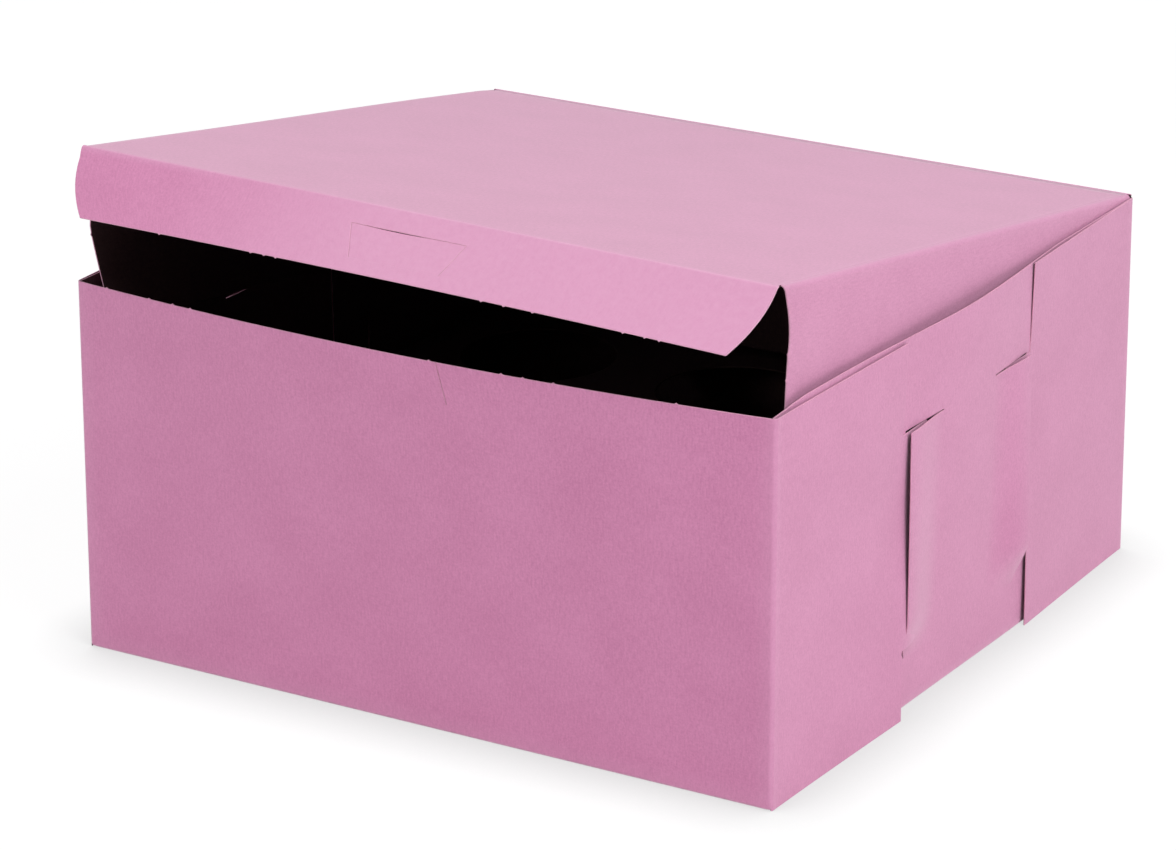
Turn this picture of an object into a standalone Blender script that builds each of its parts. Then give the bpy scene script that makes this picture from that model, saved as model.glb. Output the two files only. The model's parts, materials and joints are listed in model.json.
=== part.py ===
"""Cupcake box: a folded tray of thin board with lock corners and a hinged tuck lid.

The box stands on the plane z = 0 with its origin under the middle of the tray. X runs along the
front, Y runs from the front to the back and Z is up. The lid stands partly open, as photographed.

Every panel is a flat sheet: an outline with its slits and holes, as a die cuts it, given the board's
thickness, then bowed where the real board bows, and put in its place.
"""

import math

import bmesh
import bpy
from mathutils import Matrix

# Board and clearances, in metres like every length here
board = 0.0005
gap = 0.0003
slit = 0.0004
weld_distance = 0.000001

# Tray
box_width = 0.256
box_depth = 0.253
wall_height = 0.127
front_bow = 0.008
front_slit_place = 0.014
front_slit_depth = 0.0135
front_slit_lean = 0.003
side_bow = 0.0035
side_bow_rise = 0.045

# Lock corners
corner_flap_length = 0.083
corner_flap_lift = 0.0005
lock_clearance = 0.001
lock_slit_top = 0.0985
lock_slit_low = 0.030
lock_slit_arm = 0.030
lock_slit_foot_reach = 0.005
lock_slit_foot_drop = 0.012
lock_tab_reach = 0.025
lock_tab_top = 0.094
lock_tab_low = 0.046
lock_tab_chamfer = 0.008

# Lid
lid_length = 0.251
lid_open_degrees = 9.6
crease_bead_radius = 0.0004
side_flap_clearance = 0.0003
side_flap_depth = 0.055
side_flap_front_setback = 0.002
side_flap_front_taper = 0.0095
side_flap_front_taper_depth = 0.026
side_flap_back_setback = 0.0015
side_flap_back_taper = 0.0225
tuck_flap_length = 0.024
tuck_flap_end_inset = 0.0095
tuck_fold_degrees = 60.0

# Lock tab in the tuck flap
tab_top_distance = 0.0067
tab_hinge_distance = 0.0185
tab_top_width = 0.043
tab_hinge_width = 0.033

# Insert
insert_board = 0.0006
insert_height = 0.048
insert_side_clearance = 0.0005
insert_end_clearance = 0.0008
cake_hole_diameter = 0.056
cake_hole_pitch = 0.080
cake_rows = 3
cake_columns = 3

# Powers and counts
tuck_end_power = 1.6
side_bow_power = 2
front_bow_rise_power = 1.5
bow_columns = 24
bow_rows = 8
wing_columns = 6
end_curve_steps = 6
hole_sides = 32
bead_sides = 12

# Sizes that follow
layer = board + gap
lock_slit_place = corner_flap_length + lock_clearance
lock_tab_end = corner_flap_length + lock_tab_reach
side_wall_inner = box_width / 2 - layer - board
hinge_height = wall_height + crease_bead_radius + gap
hinge_depth = box_depth / 2 - board / 2
lid_half_width = box_width / 2 - layer
lid_open = math.radians(lid_open_degrees)
tuck_fold = math.radians(tuck_fold_degrees)
quarter_turn = math.pi / 2

# Colours: base colour and roughness
outer_pink = (0.58, 0.22, 0.39, 1.0)
lid_pink = (0.62, 0.27, 0.43, 1.0)
insert_brown = (0.05, 0.028, 0.025, 1.0)
board_roughness = 0.75


def clear_scene():
    """Remove every object that the scene holds."""
    for old in list(bpy.data.objects):
        bpy.data.objects.remove(old, do_unlink=True)


def make_collection(name):
    """Make a collection in the scene."""
    collection = bpy.data.collections.new(name)
    bpy.context.scene.collection.children.link(collection)
    return collection


def make_material(name, colour):
    """Make a plain board material."""
    material = bpy.data.materials.new(name)
    material.use_nodes = True
    shader = material.node_tree.nodes["Principled BSDF"]
    shader.inputs["Base Color"].default_value = colour
    shader.inputs["Roughness"].default_value = board_roughness
    shader.inputs["Metallic"].default_value = 0.0
    return material


def smooth_step(value):
    """Rise smoothly from 0 to 1 as value goes from 0 to 1."""
    value = min(max(value, 0.0), 1.0)
    return value * value * (3 - 2 * value)


def even_places(start, end, count):
    """Give the places that divide a stretch into count equal parts, without its ends."""
    return [start + (end - start) * step / count for step in range(1, count)]


def ribbon(points, width):
    """Give the closed outline of a thin slit that follows a line of points."""
    left, right = [], []
    for index, (u, v) in enumerate(points):
        before = points[max(index - 1, 0)]
        after = points[min(index + 1, len(points) - 1)]
        directions = []
        for start, end in ((before, (u, v)), ((u, v), after)):
            length = math.hypot(end[0] - start[0], end[1] - start[1])
            if length > 0:
                directions.append(((end[0] - start[0]) / length, (end[1] - start[1]) / length))
        normal_u = -sum(direction[1] for direction in directions) / len(directions)
        normal_v = sum(direction[0] for direction in directions) / len(directions)
        stretch = width / 2 / (normal_u ** 2 + normal_v ** 2)
        left.append((u + normal_u * stretch, v + normal_v * stretch))
        right.append((u - normal_u * stretch, v - normal_v * stretch))
    return left + right[::-1]


def mirrored(points):
    """Mirror an outline in its first coordinate."""
    return [(-u, v) for u, v in reversed(points)]


def sheet_mesh(name, loops, thickness, face_level, columns, rows, bow):
    """Cut a flat sheet to its loops and bow it.

    The first loop is the outline and the others are slits or holes. The sheet's outer face lies at
    face_level along w. Columns and rows are the places where it is divided so that it can bow, and
    bow gives how far each point (u, v) moves along w.
    """
    curve = bpy.data.curves.new(name, "CURVE")
    curve.dimensions = "2D"
    curve.fill_mode = "BOTH"
    curve.extrude = thickness / 2
    for loop in loops:
        spline = curve.splines.new("POLY")
        spline.points.add(len(loop) - 1)
        for point, (u, v) in zip(spline.points, loop):
            point.co = (u, v, 0.0, 1.0)
        spline.use_cyclic_u = True
    drawn = bpy.data.objects.new(name + "_outline", curve)
    bpy.context.scene.collection.objects.link(drawn)
    bpy.context.view_layer.update()
    evaluated = drawn.evaluated_get(bpy.context.evaluated_depsgraph_get())
    mesh = bpy.data.meshes.new_from_object(evaluated)
    bpy.data.objects.remove(drawn, do_unlink=True)
    mesh.name = name

    work = bmesh.new()
    work.from_mesh(mesh)
    bmesh.ops.remove_doubles(work, verts=work.verts, dist=weld_distance)
    for places, normal in ((columns, (1, 0, 0)), (rows, (0, 1, 0))):
        for place in places:
            bmesh.ops.bisect_plane(
                work,
                geom=work.verts[:] + work.edges[:] + work.faces[:],
                dist=weld_distance,
                plane_co=(place * normal[0], place * normal[1], 0),
                plane_no=normal,
            )
    bmesh.ops.triangulate(work, faces=work.faces[:])
    for vertex in work.verts:
        vertex.co.z += face_level - thickness / 2
        if bow:
            vertex.co.z += bow(vertex.co.x, vertex.co.y)
    bmesh.ops.recalc_face_normals(work, faces=work.faces[:])
    work.to_mesh(mesh)
    work.free()
    return mesh


def add_sheet(name, loops, material, collection, face_level=0.0, thickness=board,
              columns=(), rows=(), bow=None):
    """Add one sheet as an object at its own origin."""
    mesh = sheet_mesh(name, loops, thickness, face_level, columns, rows, bow)
    mesh.materials.clear()
    mesh.materials.append(material)
    piece = bpy.data.objects.new(name, mesh)
    collection.objects.link(piece)
    return piece


def rectangle(u_low, u_high, v_low, v_high):
    """Give a rectangle's four corners."""
    return [(u_low, v_low), (u_high, v_low), (u_high, v_high), (u_low, v_high)]


def wall_matrix(across, outward, location):
    """Place a sheet upright: u runs along across, v runs up and w points outward."""
    turn = Matrix((
        (across[0], 0, outward[0]),
        (across[1], 0, outward[1]),
        (0, 1, 0),
    ))
    return Matrix.Translation(location) @ turn.to_4x4()


# Tray: floor, front and back

def add_bottom_panel(material, collection):
    """The floor, a gap inside the walls."""
    half_width = box_width / 2 - layer - board - gap
    half_depth = box_depth / 2 - board - gap
    outline = rectangle(-half_width, half_width, -half_depth, half_depth)
    return add_sheet("bottom_panel", [outline], material, collection, face_level=board)


def front_panel_bow(u, v):
    """The front wall bows out towards the middle of its free top edge."""
    along = math.cos(math.pi * u / box_width)
    return front_bow * max(along, 0.0) * (max(v, 0.0) / wall_height) ** front_bow_rise_power


def add_front_panel(material, collection):
    """The front wall, with its short slit open at the top edge."""
    half = box_width / 2
    slit_end = front_slit_place + front_slit_lean
    slit_bottom = wall_height - front_slit_depth
    outline = [
        (-half, 0), (half, 0), (half, wall_height),
        (front_slit_place + slit / 2, wall_height),
        (slit_end + slit / 2, slit_bottom),
        (slit_end - slit / 2, slit_bottom),
        (front_slit_place - slit / 2, wall_height),
        (-half, wall_height),
    ]
    piece = add_sheet(
        "front_panel", [outline], material, collection,
        columns=even_places(-half, half, bow_columns),
        rows=even_places(0, wall_height, bow_rows),
        bow=front_panel_bow,
    )
    piece.matrix_world = wall_matrix((1, 0), (0, -1), (0, -box_depth / 2, 0))
    return piece


def add_back_panel(material, collection):
    """The back wall, which stays flat because the lid's crease holds its top edge."""
    half = box_width / 2
    piece = add_sheet("back_panel", [rectangle(-half, half, 0, wall_height)], material, collection)
    piece.matrix_world = wall_matrix((-1, 0), (0, 1), (0, box_depth / 2, 0))
    return piece


# Tray: side walls and their lock corners. In these sheets u is 0 at the middle of the side.

def rim_bow(u):
    """How far the side bows out at its top edge."""
    along = math.cos(math.pi * u / box_depth)
    return side_bow * max(along, 0.0) ** side_bow_power


def wing_lift(u):
    """How far a wing stands proud: 1 at its slit, 0 where the slit's arm ends."""
    from_slit = box_depth / 2 - lock_slit_place - abs(u)
    return 1 - smooth_step(from_slit / lock_slit_arm)


def on_wing(u, v):
    """Whether a point of the side wall lies on a wing, inside its slit."""
    from_slit = box_depth / 2 - lock_slit_place - abs(u)
    if from_slit < 0 or v > lock_slit_top:
        return False
    foot = min(from_slit / lock_slit_foot_reach, 1)
    return v > lock_slit_low - lock_slit_foot_drop * foot


def side_panel_bow(u, v):
    """The side wall bows out above its crease, and its wings ride over the lock tabs."""
    lift = rim_bow(u) * math.sin(min(v / side_bow_rise, 1) * quarter_turn)
    if on_wing(u, v):
        foot_end = lock_slit_low - lock_slit_foot_drop
        rise = smooth_step((v - foot_end) / (lock_tab_low - foot_end))
        lift += 2 * layer * wing_lift(u) * rise
    return lift


def lock_slit_outline():
    """The bracket-shaped slit at the far end of a side wall."""
    place = box_depth / 2 - lock_slit_place
    line = [
        (place - lock_slit_arm, lock_slit_top),
        (place, lock_slit_top),
        (place, lock_slit_low),
        (place - lock_slit_foot_reach, lock_slit_low - lock_slit_foot_drop),
    ]
    return ribbon(line, slit)


def add_side_panel(name, side, material, collection):
    """A side wall. Side is 1 on the right and -1 on the left."""
    half = box_depth / 2 - layer
    place = box_depth / 2 - lock_slit_place
    wing_places = even_places(place - lock_slit_arm, place, wing_columns)
    columns = even_places(-half, half, bow_columns) + wing_places + [-u for u in wing_places]
    piece = add_sheet(
        name,
        [rectangle(-half, half, 0, wall_height), lock_slit_outline(), mirrored(lock_slit_outline())],
        material, collection,
        face_level=-layer,
        columns=columns,
        rows=even_places(0, wall_height, bow_rows) + [lock_slit_low - lock_slit_foot_drop, lock_tab_low],
        bow=side_panel_bow,
    )
    piece.matrix_world = wall_matrix((0, side), (side, 0), (side * box_width / 2, 0, 0))
    return piece


def corner_flap_bow(u, v):
    """The flap follows the rim outside the side wall, and its tab passes inside the wing."""
    lift = rim_bow(u)
    if abs(u) < box_depth / 2 - lock_slit_place:
        lift += 2 * layer * (wing_lift(u) - 1)
    return lift


def corner_flap_outline():
    """The flap at the low-u end of a side, from its crease to the end of its lock tab."""
    crease = -box_depth / 2 + layer
    edge = -box_depth / 2 + corner_flap_length
    tab_end = -box_depth / 2 + lock_tab_end
    return [
        (crease, corner_flap_lift), (edge, corner_flap_lift), (edge, lock_tab_low),
        (tab_end - lock_tab_chamfer, lock_tab_low), (tab_end, lock_tab_low + lock_tab_chamfer),
        (tab_end, lock_tab_top - lock_tab_chamfer), (tab_end - lock_tab_chamfer, lock_tab_top),
        (edge, lock_tab_top), (edge, wall_height), (crease, wall_height),
    ]


def add_corner_flap(name, side, end, material, collection):
    """A corner flap. End is -1 at the front and 1 at the back."""
    outline = corner_flap_outline()
    low_end = end * side < 0
    if not low_end:
        outline = mirrored(outline)
    start = -box_depth / 2
    columns = even_places(start, start + corner_flap_length, bow_columns // 3)
    columns += [start + lock_slit_place]
    columns += even_places(start + lock_slit_place, start + lock_tab_end, wing_columns)
    if not low_end:
        columns = [-u for u in columns]
    piece = add_sheet(name, [outline], material, collection, columns=columns, bow=corner_flap_bow)
    piece.matrix_world = wall_matrix((0, side), (side, 0), (side * box_width / 2, 0, 0))
    return piece


# Lid. Its panel's own axes lie in the closed lid: x to the right, y to the back, z up.

def add_hinge_crease(material, collection):
    """The crease bead that the lid turns on."""
    bpy.ops.mesh.primitive_cylinder_add(
        vertices=bead_sides,
        radius=crease_bead_radius,
        depth=2 * lid_half_width,
        location=(0, hinge_depth, hinge_height),
        rotation=(0, quarter_turn, 0),
    )
    bead = bpy.context.object
    bead.name = "lid_hinge_crease"
    bead.data.materials.append(material)
    for holder in list(bead.users_collection):
        holder.objects.unlink(bead)
    collection.objects.link(bead)
    return bead


def add_lid_panel(material, collection):
    """The lid's top panel, turned up about its crease."""
    back_edge = -(crease_bead_radius + gap)
    outline = rectangle(-lid_half_width, lid_half_width, -lid_length, back_edge)
    piece = add_sheet("lid_panel", [outline], material, collection, face_level=board / 2)
    piece.location = (0, hinge_depth, hinge_height)
    piece.rotation_euler = (-lid_open, 0, 0)
    return piece


def side_flap_outline():
    """The right flap laid out flat: u out from the crease, v along it."""
    front = -lid_length + side_flap_front_setback
    back = -side_flap_back_setback
    points = []
    for step in range(end_curve_steps + 1):
        share = step / end_curve_steps
        setback = side_flap_front_taper * math.sin(share * quarter_turn)
        points.append((side_flap_front_taper_depth * share, front + setback))
    points.append((side_flap_depth, front + side_flap_front_taper))
    points.append((side_flap_depth, back - side_flap_back_taper))
    points.append((0, back))
    return points


def add_lid_side_flap(name, side, lid, material, collection):
    """A flap that hangs from the lid inside a side wall."""
    outline = side_flap_outline()
    if side < 0:
        outline = mirrored(outline)
    piece = add_sheet(name, [outline], material, collection, face_level=board / 2)
    piece.parent = lid
    crease = side_wall_inner - side_flap_clearance - board / 2
    piece.location = (side * crease, 0, -layer)
    piece.rotation_euler = (0, side * quarter_turn, 0)
    return piece


def tuck_flap_outline():
    """The tuck flap laid out flat: its ends curve in towards its free edge."""
    half = side_wall_inner - side_flap_clearance
    right = []
    for step in range(end_curve_steps + 1):
        share = step / end_curve_steps
        inset = tuck_flap_end_inset * share ** tuck_end_power
        right.append((half - inset, -tuck_flap_length * share))
    return right + mirrored(right)


def lock_tab_outline():
    """The lock tab: a trapezoid between its hinge line, at v = 0, and its top slit."""
    height = tab_hinge_distance - tab_top_distance
    return [
        (-tab_hinge_width / 2, 0), (tab_hinge_width / 2, 0),
        (tab_top_width / 2, height), (-tab_top_width / 2, height),
    ]


def lock_tab_window():
    """The opening that the lock tab leaves in the tuck flap, a gap wider all round."""
    lean = (tab_top_width - tab_hinge_width) / 2
    height = tab_hinge_distance - tab_top_distance
    side_gap = gap * math.hypot(lean, height) / height
    low = -tab_hinge_distance - gap
    high = -tab_top_distance + gap
    low_half = tab_hinge_width / 2 - lean * gap / height + side_gap
    high_half = tab_top_width / 2 + lean * gap / height + side_gap
    return [(-low_half, low), (low_half, low), (high_half, high), (-high_half, high)]


def add_tuck_flap(lid, material, collection):
    """The flap at the front of the lid, sprung part way out."""
    piece = add_sheet(
        "front_tuck_flap", [tuck_flap_outline(), lock_tab_window()], material, collection,
        face_level=board / 2,
    )
    piece.parent = lid
    piece.location = (0, -lid_length + board / 2, -layer)
    piece.rotation_euler = (tuck_fold, 0, 0)
    return piece


def add_lock_tab(flap, material, collection):
    """The tab in the tuck flap, hinged along its lower edge on the flap's outer face."""
    piece = add_sheet("lock_tab", [lock_tab_outline()], material, collection)
    piece.parent = flap
    piece.location = (0, -tab_hinge_distance, board / 2)
    return piece


# Insert

def circle(centre_u, centre_v, radius, sides):
    """Give the corners of a round hole."""
    turns = [2 * math.pi * step / sides for step in range(sides)]
    return [(centre_u + radius * math.cos(t), centre_v + radius * math.sin(t)) for t in turns]


def insert_half_width():
    """The deck fits between the lid's side flaps, so that it can be lifted out past them."""
    return side_wall_inner - side_flap_clearance - board - insert_side_clearance


def add_insert_deck(material, collection):
    """The deck with its round cake holes."""
    half_depth = box_depth / 2 - board - insert_end_clearance
    half_width = insert_half_width()
    loops = [rectangle(-half_width, half_width, -half_depth, half_depth)]
    for column in range(cake_columns):
        for row in range(cake_rows):
            centre_u = (column - (cake_columns - 1) / 2) * cake_hole_pitch
            centre_v = (row - (cake_rows - 1) / 2) * cake_hole_pitch
            loops.append(circle(centre_u, centre_v, cake_hole_diameter / 2, hole_sides))
    piece = add_sheet("insert_deck", loops, material, collection, thickness=insert_board)
    piece.location = (0, 0, insert_height)
    return piece


def add_insert_leg(name, side, deck, material, collection):
    """A leg that hangs from the deck's edge down to the floor."""
    half_depth = box_depth / 2 - board - insert_end_clearance
    drop = insert_board + gap + insert_board / 2
    length = insert_height - drop - board - gap
    outline = rectangle(0, length, -half_depth, half_depth)
    if side < 0:
        outline = mirrored(outline)
    piece = add_sheet(
        name, [outline], material, collection,
        face_level=insert_board / 2, thickness=insert_board,
    )
    piece.parent = deck
    piece.location = (side * (insert_half_width() - insert_board / 2), 0, -drop)
    piece.rotation_euler = (0, side * quarter_turn, 0)
    return piece


def build():
    """Make the whole box."""
    clear_scene()
    collection = make_collection("cupcake_box")
    sides = (("left", -1), ("right", 1))
    ends = (("front", -1), ("back", 1))

    add_bottom_panel(make_material("bottom_board", outer_pink), collection)
    add_front_panel(make_material("front_board", outer_pink), collection)
    add_back_panel(make_material("back_board", outer_pink), collection)
    for side_name, side in sides:
        material = make_material(side_name + "_side_board", outer_pink)
        add_side_panel(side_name + "_side_panel", side, material, collection)
        for end_name, end in ends:
            corner = end_name + "_" + side_name + "_corner"
            flap_material = make_material(corner + "_board", outer_pink)
            add_corner_flap(corner + "_flap", side, end, flap_material, collection)

    add_hinge_crease(make_material("crease_board", lid_pink), collection)
    lid = add_lid_panel(make_material("lid_board", lid_pink), collection)
    for side_name, side in sides:
        material = make_material("lid_" + side_name + "_flap_board", lid_pink)
        add_lid_side_flap("lid_" + side_name + "_side_flap", side, lid, material, collection)
    tuck_flap = add_tuck_flap(lid, make_material("tuck_flap_board", lid_pink), collection)
    add_lock_tab(tuck_flap, make_material("lock_tab_board", lid_pink), collection)

    deck = add_insert_deck(make_material("insert_deck_board", insert_brown), collection)
    for side_name, side in sides:
        material = make_material("insert_" + side_name + "_leg_board", insert_brown)
        add_insert_leg("insert_" + side_name + "_leg", side, deck, material, collection)


build()
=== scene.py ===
"""Cupcake box: a folded box of pink board with lock corners, its tuck lid standing partly open.

Every panel is one sheet of board. Its outer face is a grid of points: the die-cut sheet's flat (u, v)
places are warped to the cut lines, bowed and creased by whole-array formulas, and put in their place.
The inner face lies the board's thickness behind it, and the cut edges between them are rounded.
All lengths are in metres.
"""

import json
import math

import bpy
import numpy as np
from bpy.props import FloatProperty, FloatVectorProperty, PointerProperty
from bpy.types import Operator, Panel, PropertyGroup
from mathutils import Matrix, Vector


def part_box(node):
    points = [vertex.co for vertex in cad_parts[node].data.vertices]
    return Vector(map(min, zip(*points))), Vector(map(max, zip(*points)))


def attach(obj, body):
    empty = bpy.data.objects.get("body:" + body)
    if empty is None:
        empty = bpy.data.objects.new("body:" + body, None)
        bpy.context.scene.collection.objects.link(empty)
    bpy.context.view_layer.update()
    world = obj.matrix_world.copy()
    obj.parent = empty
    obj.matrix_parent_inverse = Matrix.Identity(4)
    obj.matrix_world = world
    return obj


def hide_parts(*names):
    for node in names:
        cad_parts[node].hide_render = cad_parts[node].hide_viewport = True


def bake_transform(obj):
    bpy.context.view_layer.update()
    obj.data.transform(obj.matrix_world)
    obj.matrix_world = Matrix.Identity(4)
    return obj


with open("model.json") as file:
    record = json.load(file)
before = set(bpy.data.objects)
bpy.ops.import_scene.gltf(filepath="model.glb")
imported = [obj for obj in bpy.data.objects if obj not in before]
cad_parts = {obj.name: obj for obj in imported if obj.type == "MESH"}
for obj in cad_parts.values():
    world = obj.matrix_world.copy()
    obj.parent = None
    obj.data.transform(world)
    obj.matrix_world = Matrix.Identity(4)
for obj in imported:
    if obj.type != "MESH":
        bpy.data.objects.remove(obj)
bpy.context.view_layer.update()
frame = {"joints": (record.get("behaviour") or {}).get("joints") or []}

bl_info = {
    "name": "Cupcake Box",
    "version": (1, 0, 0),
    "blender": (4, 5, 0),
    "location": "View3D > Sidebar > Cupcake Box",
    "description": "Builds a folded board cupcake box with lock corners, a tuck lid and an insert",
    "category": "Object",
}

joints = {joint["name"]: joint for joint in frame["joints"]}
hinge_place = joints["lid_open"]["pos_m"]
half_width, half_depth, wall_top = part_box("back_panel")[1]
flap_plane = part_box("lid_right_side_flap")[1].x
deck_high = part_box("insert_deck")[1]
sides = {"left": -1, "right": 1}
ends = {"front": -1, "back": 1}


# Settings

def length(name, description, default):
    """A length that a user may change, in metres."""
    return FloatProperty(name=name, description=description, default=default, unit="LENGTH", precision=5)


def angle(name, description, degrees):
    """An angle that a user may change."""
    return FloatProperty(name=name, description=description, default=math.radians(degrees), subtype="ANGLE")


def colour(name, description, default):
    """A surface colour that a user may change."""
    return FloatVectorProperty(
        name=name, description=description, default=default, subtype="COLOR", min=0, max=1)


def number(name, description, default):
    """A plain number that a user may change."""
    return FloatProperty(name=name, description=description, default=default, min=0)


class BoardSettings(PropertyGroup):
    """The board itself."""

    thickness: length("Thickness", "Thickness of the board", 0.0005)
    layer: length("Layer", "Room that one layer of board takes, with its clearance", 0.0008)
    rounding: length("Edge rounding", "How far a cut edge is rounded off", 0.00009)
    crease_radius: length("Crease radius", "Outer radius of a folded crease", 0.0015)
    cell: length("Cell", "Widest cell of a panel's grid", 0.006)
    nick_width: length("Nick width", "Width of the torn nibs along a cut edge", 0.0013)
    nick_height: length("Nick height", "How far a torn nib stands out of a cut edge", 0.00045)


class TraySettings(PropertyGroup):
    """The tray's walls and lock corners."""

    front_bow: length("Front bow", "How far the front wall's rim bows out", 0.0082)
    front_slit_place: length("Front slit", "Where the front wall's slit meets the rim", 0.014)
    front_slit_depth: length("Front slit depth", "How far the slit reaches down", 0.0135)
    front_slit_lean: length("Front slit lean", "How far the slit leans to the right", 0.003)
    front_slit_width: length("Front slit width", "Width of the slit in the front wall", 0.00018)
    side_bow: length("Side bow", "How far a side wall's rim bows out", 0.0032)
    side_bow_middle: length("Side bow middle", "Where the side's rim bows out most", -0.004)
    side_bow_reach: length("Side bow reach", "How far from there the bow dies away", 0.074)
    side_pinch: length("Side pinch", "How far the rim is drawn in at the front corner", 0.0005)
    side_rise: length("Side rise", "How much higher the right side's rim stands near its front", 0.0019)
    foot_bow: length("Foot bow", "How far the side's bottom crease sways in and out", 0.0008)
    flap_lean: length("Corner flap lean", "How far a corner flap's free edge stands out", 0.0026)
    flap_pull: length("Corner flap pull", "How far its lock tab draws that edge back in", 0.0021)
    back_lean: number("Back flap lean", "How far a back corner flap leans, per unit of a front one", 0.70)
    corner_draw: length("Corner draw", "How far all corners but the front right one lean in", 0.0006)
    flap_pull_height: length("Pull height", "Height at which the tab draws most", 0.076)
    flap_pull_spread: length("Pull spread", "Height over which the pull dies away", 0.036)
    wing_stand: length("Wing stand", "How far a wing stands out at its slit's top", 0.0020)
    wing_stand_low: length("Wing stand low", "How far it stands out at the slit's foot", 0.0038)
    wing_foot: length("Wing foot", "Height above which a wing stands out fully", 0.032)
    flap_length: length("Corner flap length", "Reach of a corner flap along the side", 0.0808)
    flap_lift: length("Corner flap lift", "Height of a corner flap's lower edge", 0.0001)
    slit_clearance: length("Slit clearance", "From a corner flap's edge to the lock slit", 0.0028)
    slit_width: length("Lock slit width", "Width of a lock slit", 0.0004)
    slit_top: length("Lock slit top", "Height of a lock slit's upper arm", 0.0968)
    slit_low: length("Lock slit low", "Height at which a lock slit's foot begins", 0.030)
    slit_arm: length("Lock slit arm", "Length of a lock slit's upper arm", 0.0245)
    foot_reach: length("Slit foot reach", "How far a lock slit's foot runs inwards", 0.005)
    foot_drop: length("Slit foot drop", "How far a lock slit's foot runs down", 0.012)
    tab_reach: length("Lock tab reach", "How far a corner flap's tab runs on past its edge", 0.025)
    tab_top: length("Lock tab top", "Height of a tab's upper edge", 0.0964)
    tab_low: length("Lock tab low", "Height of a tab's lower edge", 0.024)
    back_tab_low: length("Back lock tab low", "Height of a back tab's lower edge", 0.044)
    tab_chamfer: length("Lock tab chamfer", "Size of a tab's cut corners", 0.008)


class LidSettings(PropertyGroup):
    """The lid and its flaps."""

    open_angle: angle("Opening", "How far the lid stands open", 9.36)
    reach: length("Length", "From the lid's hinge to its front crease", 0.25135)
    left_half: length("Left half", "From the lid's middle to its left crease at the front", 0.1272)
    right_half: length("Right half", "From the lid's middle to its right crease at the front", 0.1265)
    splay_length: length("Splay length", "Where the lid reaches its full width, from the hinge", 0.060)
    side_crease_radius: length("Side crease radius", "Outer radius of the lid's side creases", 0.0017)
    twist: length("Twist", "Lift of the left front corner, and drop of the right one", 0.00225)
    left_lift: length("Left lift", "How far the lid's left edge bulges up near the hinge", 0.0005)
    side_depth: length("Side flap depth", "Depth of a side flap", 0.055)
    side_front_setback: length("Side flap setback", "From the front crease to a side flap", 0.0015)
    right_setback: length("Right flap setback", "How much farther back the right side flap begins", 0.0017)
    right_slant: number("Right flap slant", "How far its front edge slants back, per length", 0.16)
    right_tuck: length("Right flap tuck", "How far its front end slants in behind the tray's rim", 0.0015)
    side_front_taper: length("Side flap taper", "How far a side flap's front edge curves back", 0.0074)
    side_front_taper_depth: length("Side flap taper depth", "Depth at which that curve ends", 0.021)
    side_back_setback: length("Side flap back setback", "From the hinge to a side flap", 0.0004)
    side_back_taper: length("Side flap back taper", "How far a side flap's back edge slants", 0.0228)
    turn_setback: length("Turn setback", "From a side crease's bend to where its flap begins to turn", 0.0006)
    turn_slope: angle("Turn slope", "How steeply a folding flap's turn runs down its crease", 15.0)
    left_flare: length("Left flap flare", "How far the left side flap bulges out below its crease", 0.0022)
    left_flare_depth: length("Left flap flare depth", "Depth at which it bulges out most", 0.025)
    left_slant: number("Left flap slant", "How far it slants in below that, per length", 0.40)
    tuck_fold_left: angle("Tuck fold left", "How far the tuck flap is folded down at its left end", 56.0)
    tuck_fold_middle: angle("Tuck fold middle", "How far it is folded down in its middle", 50.0)
    tuck_fold_right: angle("Tuck fold right", "How far it is folded down at its right end", 57.0)
    tuck_reach: length("Tuck flap length", "Length of the tuck flap", 0.0235)
    # Strength of the painted highlight that makes the tuck flap paler from its middle to its right end
    tuck_highlight: number("Tuck flap pale", "How rubbed the tuck flap is from its middle to its right end", 1.5)
    tuck_left_inset: length("Tuck flap left inset", "How far its left end curves in", 0.0100)
    tuck_right_inset: length("Tuck flap right inset", "How far its right end curves in", 0.0086)
    tuck_corner_inset: length("Tuck corner inset", "From the lid's corner to its right end", 0.0013)
    tab_top: length("Lock tab top", "From the tuck flap's hinge to the tab's top slit", 0.0067)
    tab_hinge: length("Lock tab hinge", "From the tuck flap's hinge to the tab's own", 0.0185)
    tab_top_width: length("Lock tab top width", "Width of the tab at its top slit", 0.0415)
    tab_hinge_width: length("Lock tab hinge width", "Width of the tab at its hinge", 0.0325)
    tab_slit: length("Lock tab slit", "Width of the slits beside the tab", 0.00008)
    tab_top_slit: length("Lock tab top slit", "Width of the slit above the tab", 0.00017)
    tab_mouth: length("Lock tab mouth", "Where the slit above the tab gapes most", -0.0030)
    tab_mouth_width: length("Lock tab mouth width", "Half the width over which it gapes", 0.0070)
    tab_press: length("Lock tab press", "How far the tab's top is pressed in there", 0.00032)
    bead_radius: length("Crease bead", "Outer radius of the crease between back wall and lid", 0.0004)
    bead_share: number("Crease bead share", "Share of that radius that its board takes", 0.7)


class InsertSettings(PropertyGroup):
    """The loose insert that holds the cakes."""

    thickness: length("Thickness", "Thickness of the insert's board", 0.0006)
    clearance: length("Leg clearance", "From the deck's underside to a leg's top", 0.0003)
    crease_radius: length("Crease radius", "Outer radius of the insert's creases", 0.0012)
    hole_diameter: length("Hole diameter", "Diameter of a cake hole", 0.056)
    hole_pitch: length("Hole pitch", "Distance between cake holes", 0.080)
    floor_clearance: length("Floor clearance", "From a leg's lower edge to the ground", 0.0008)


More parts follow.
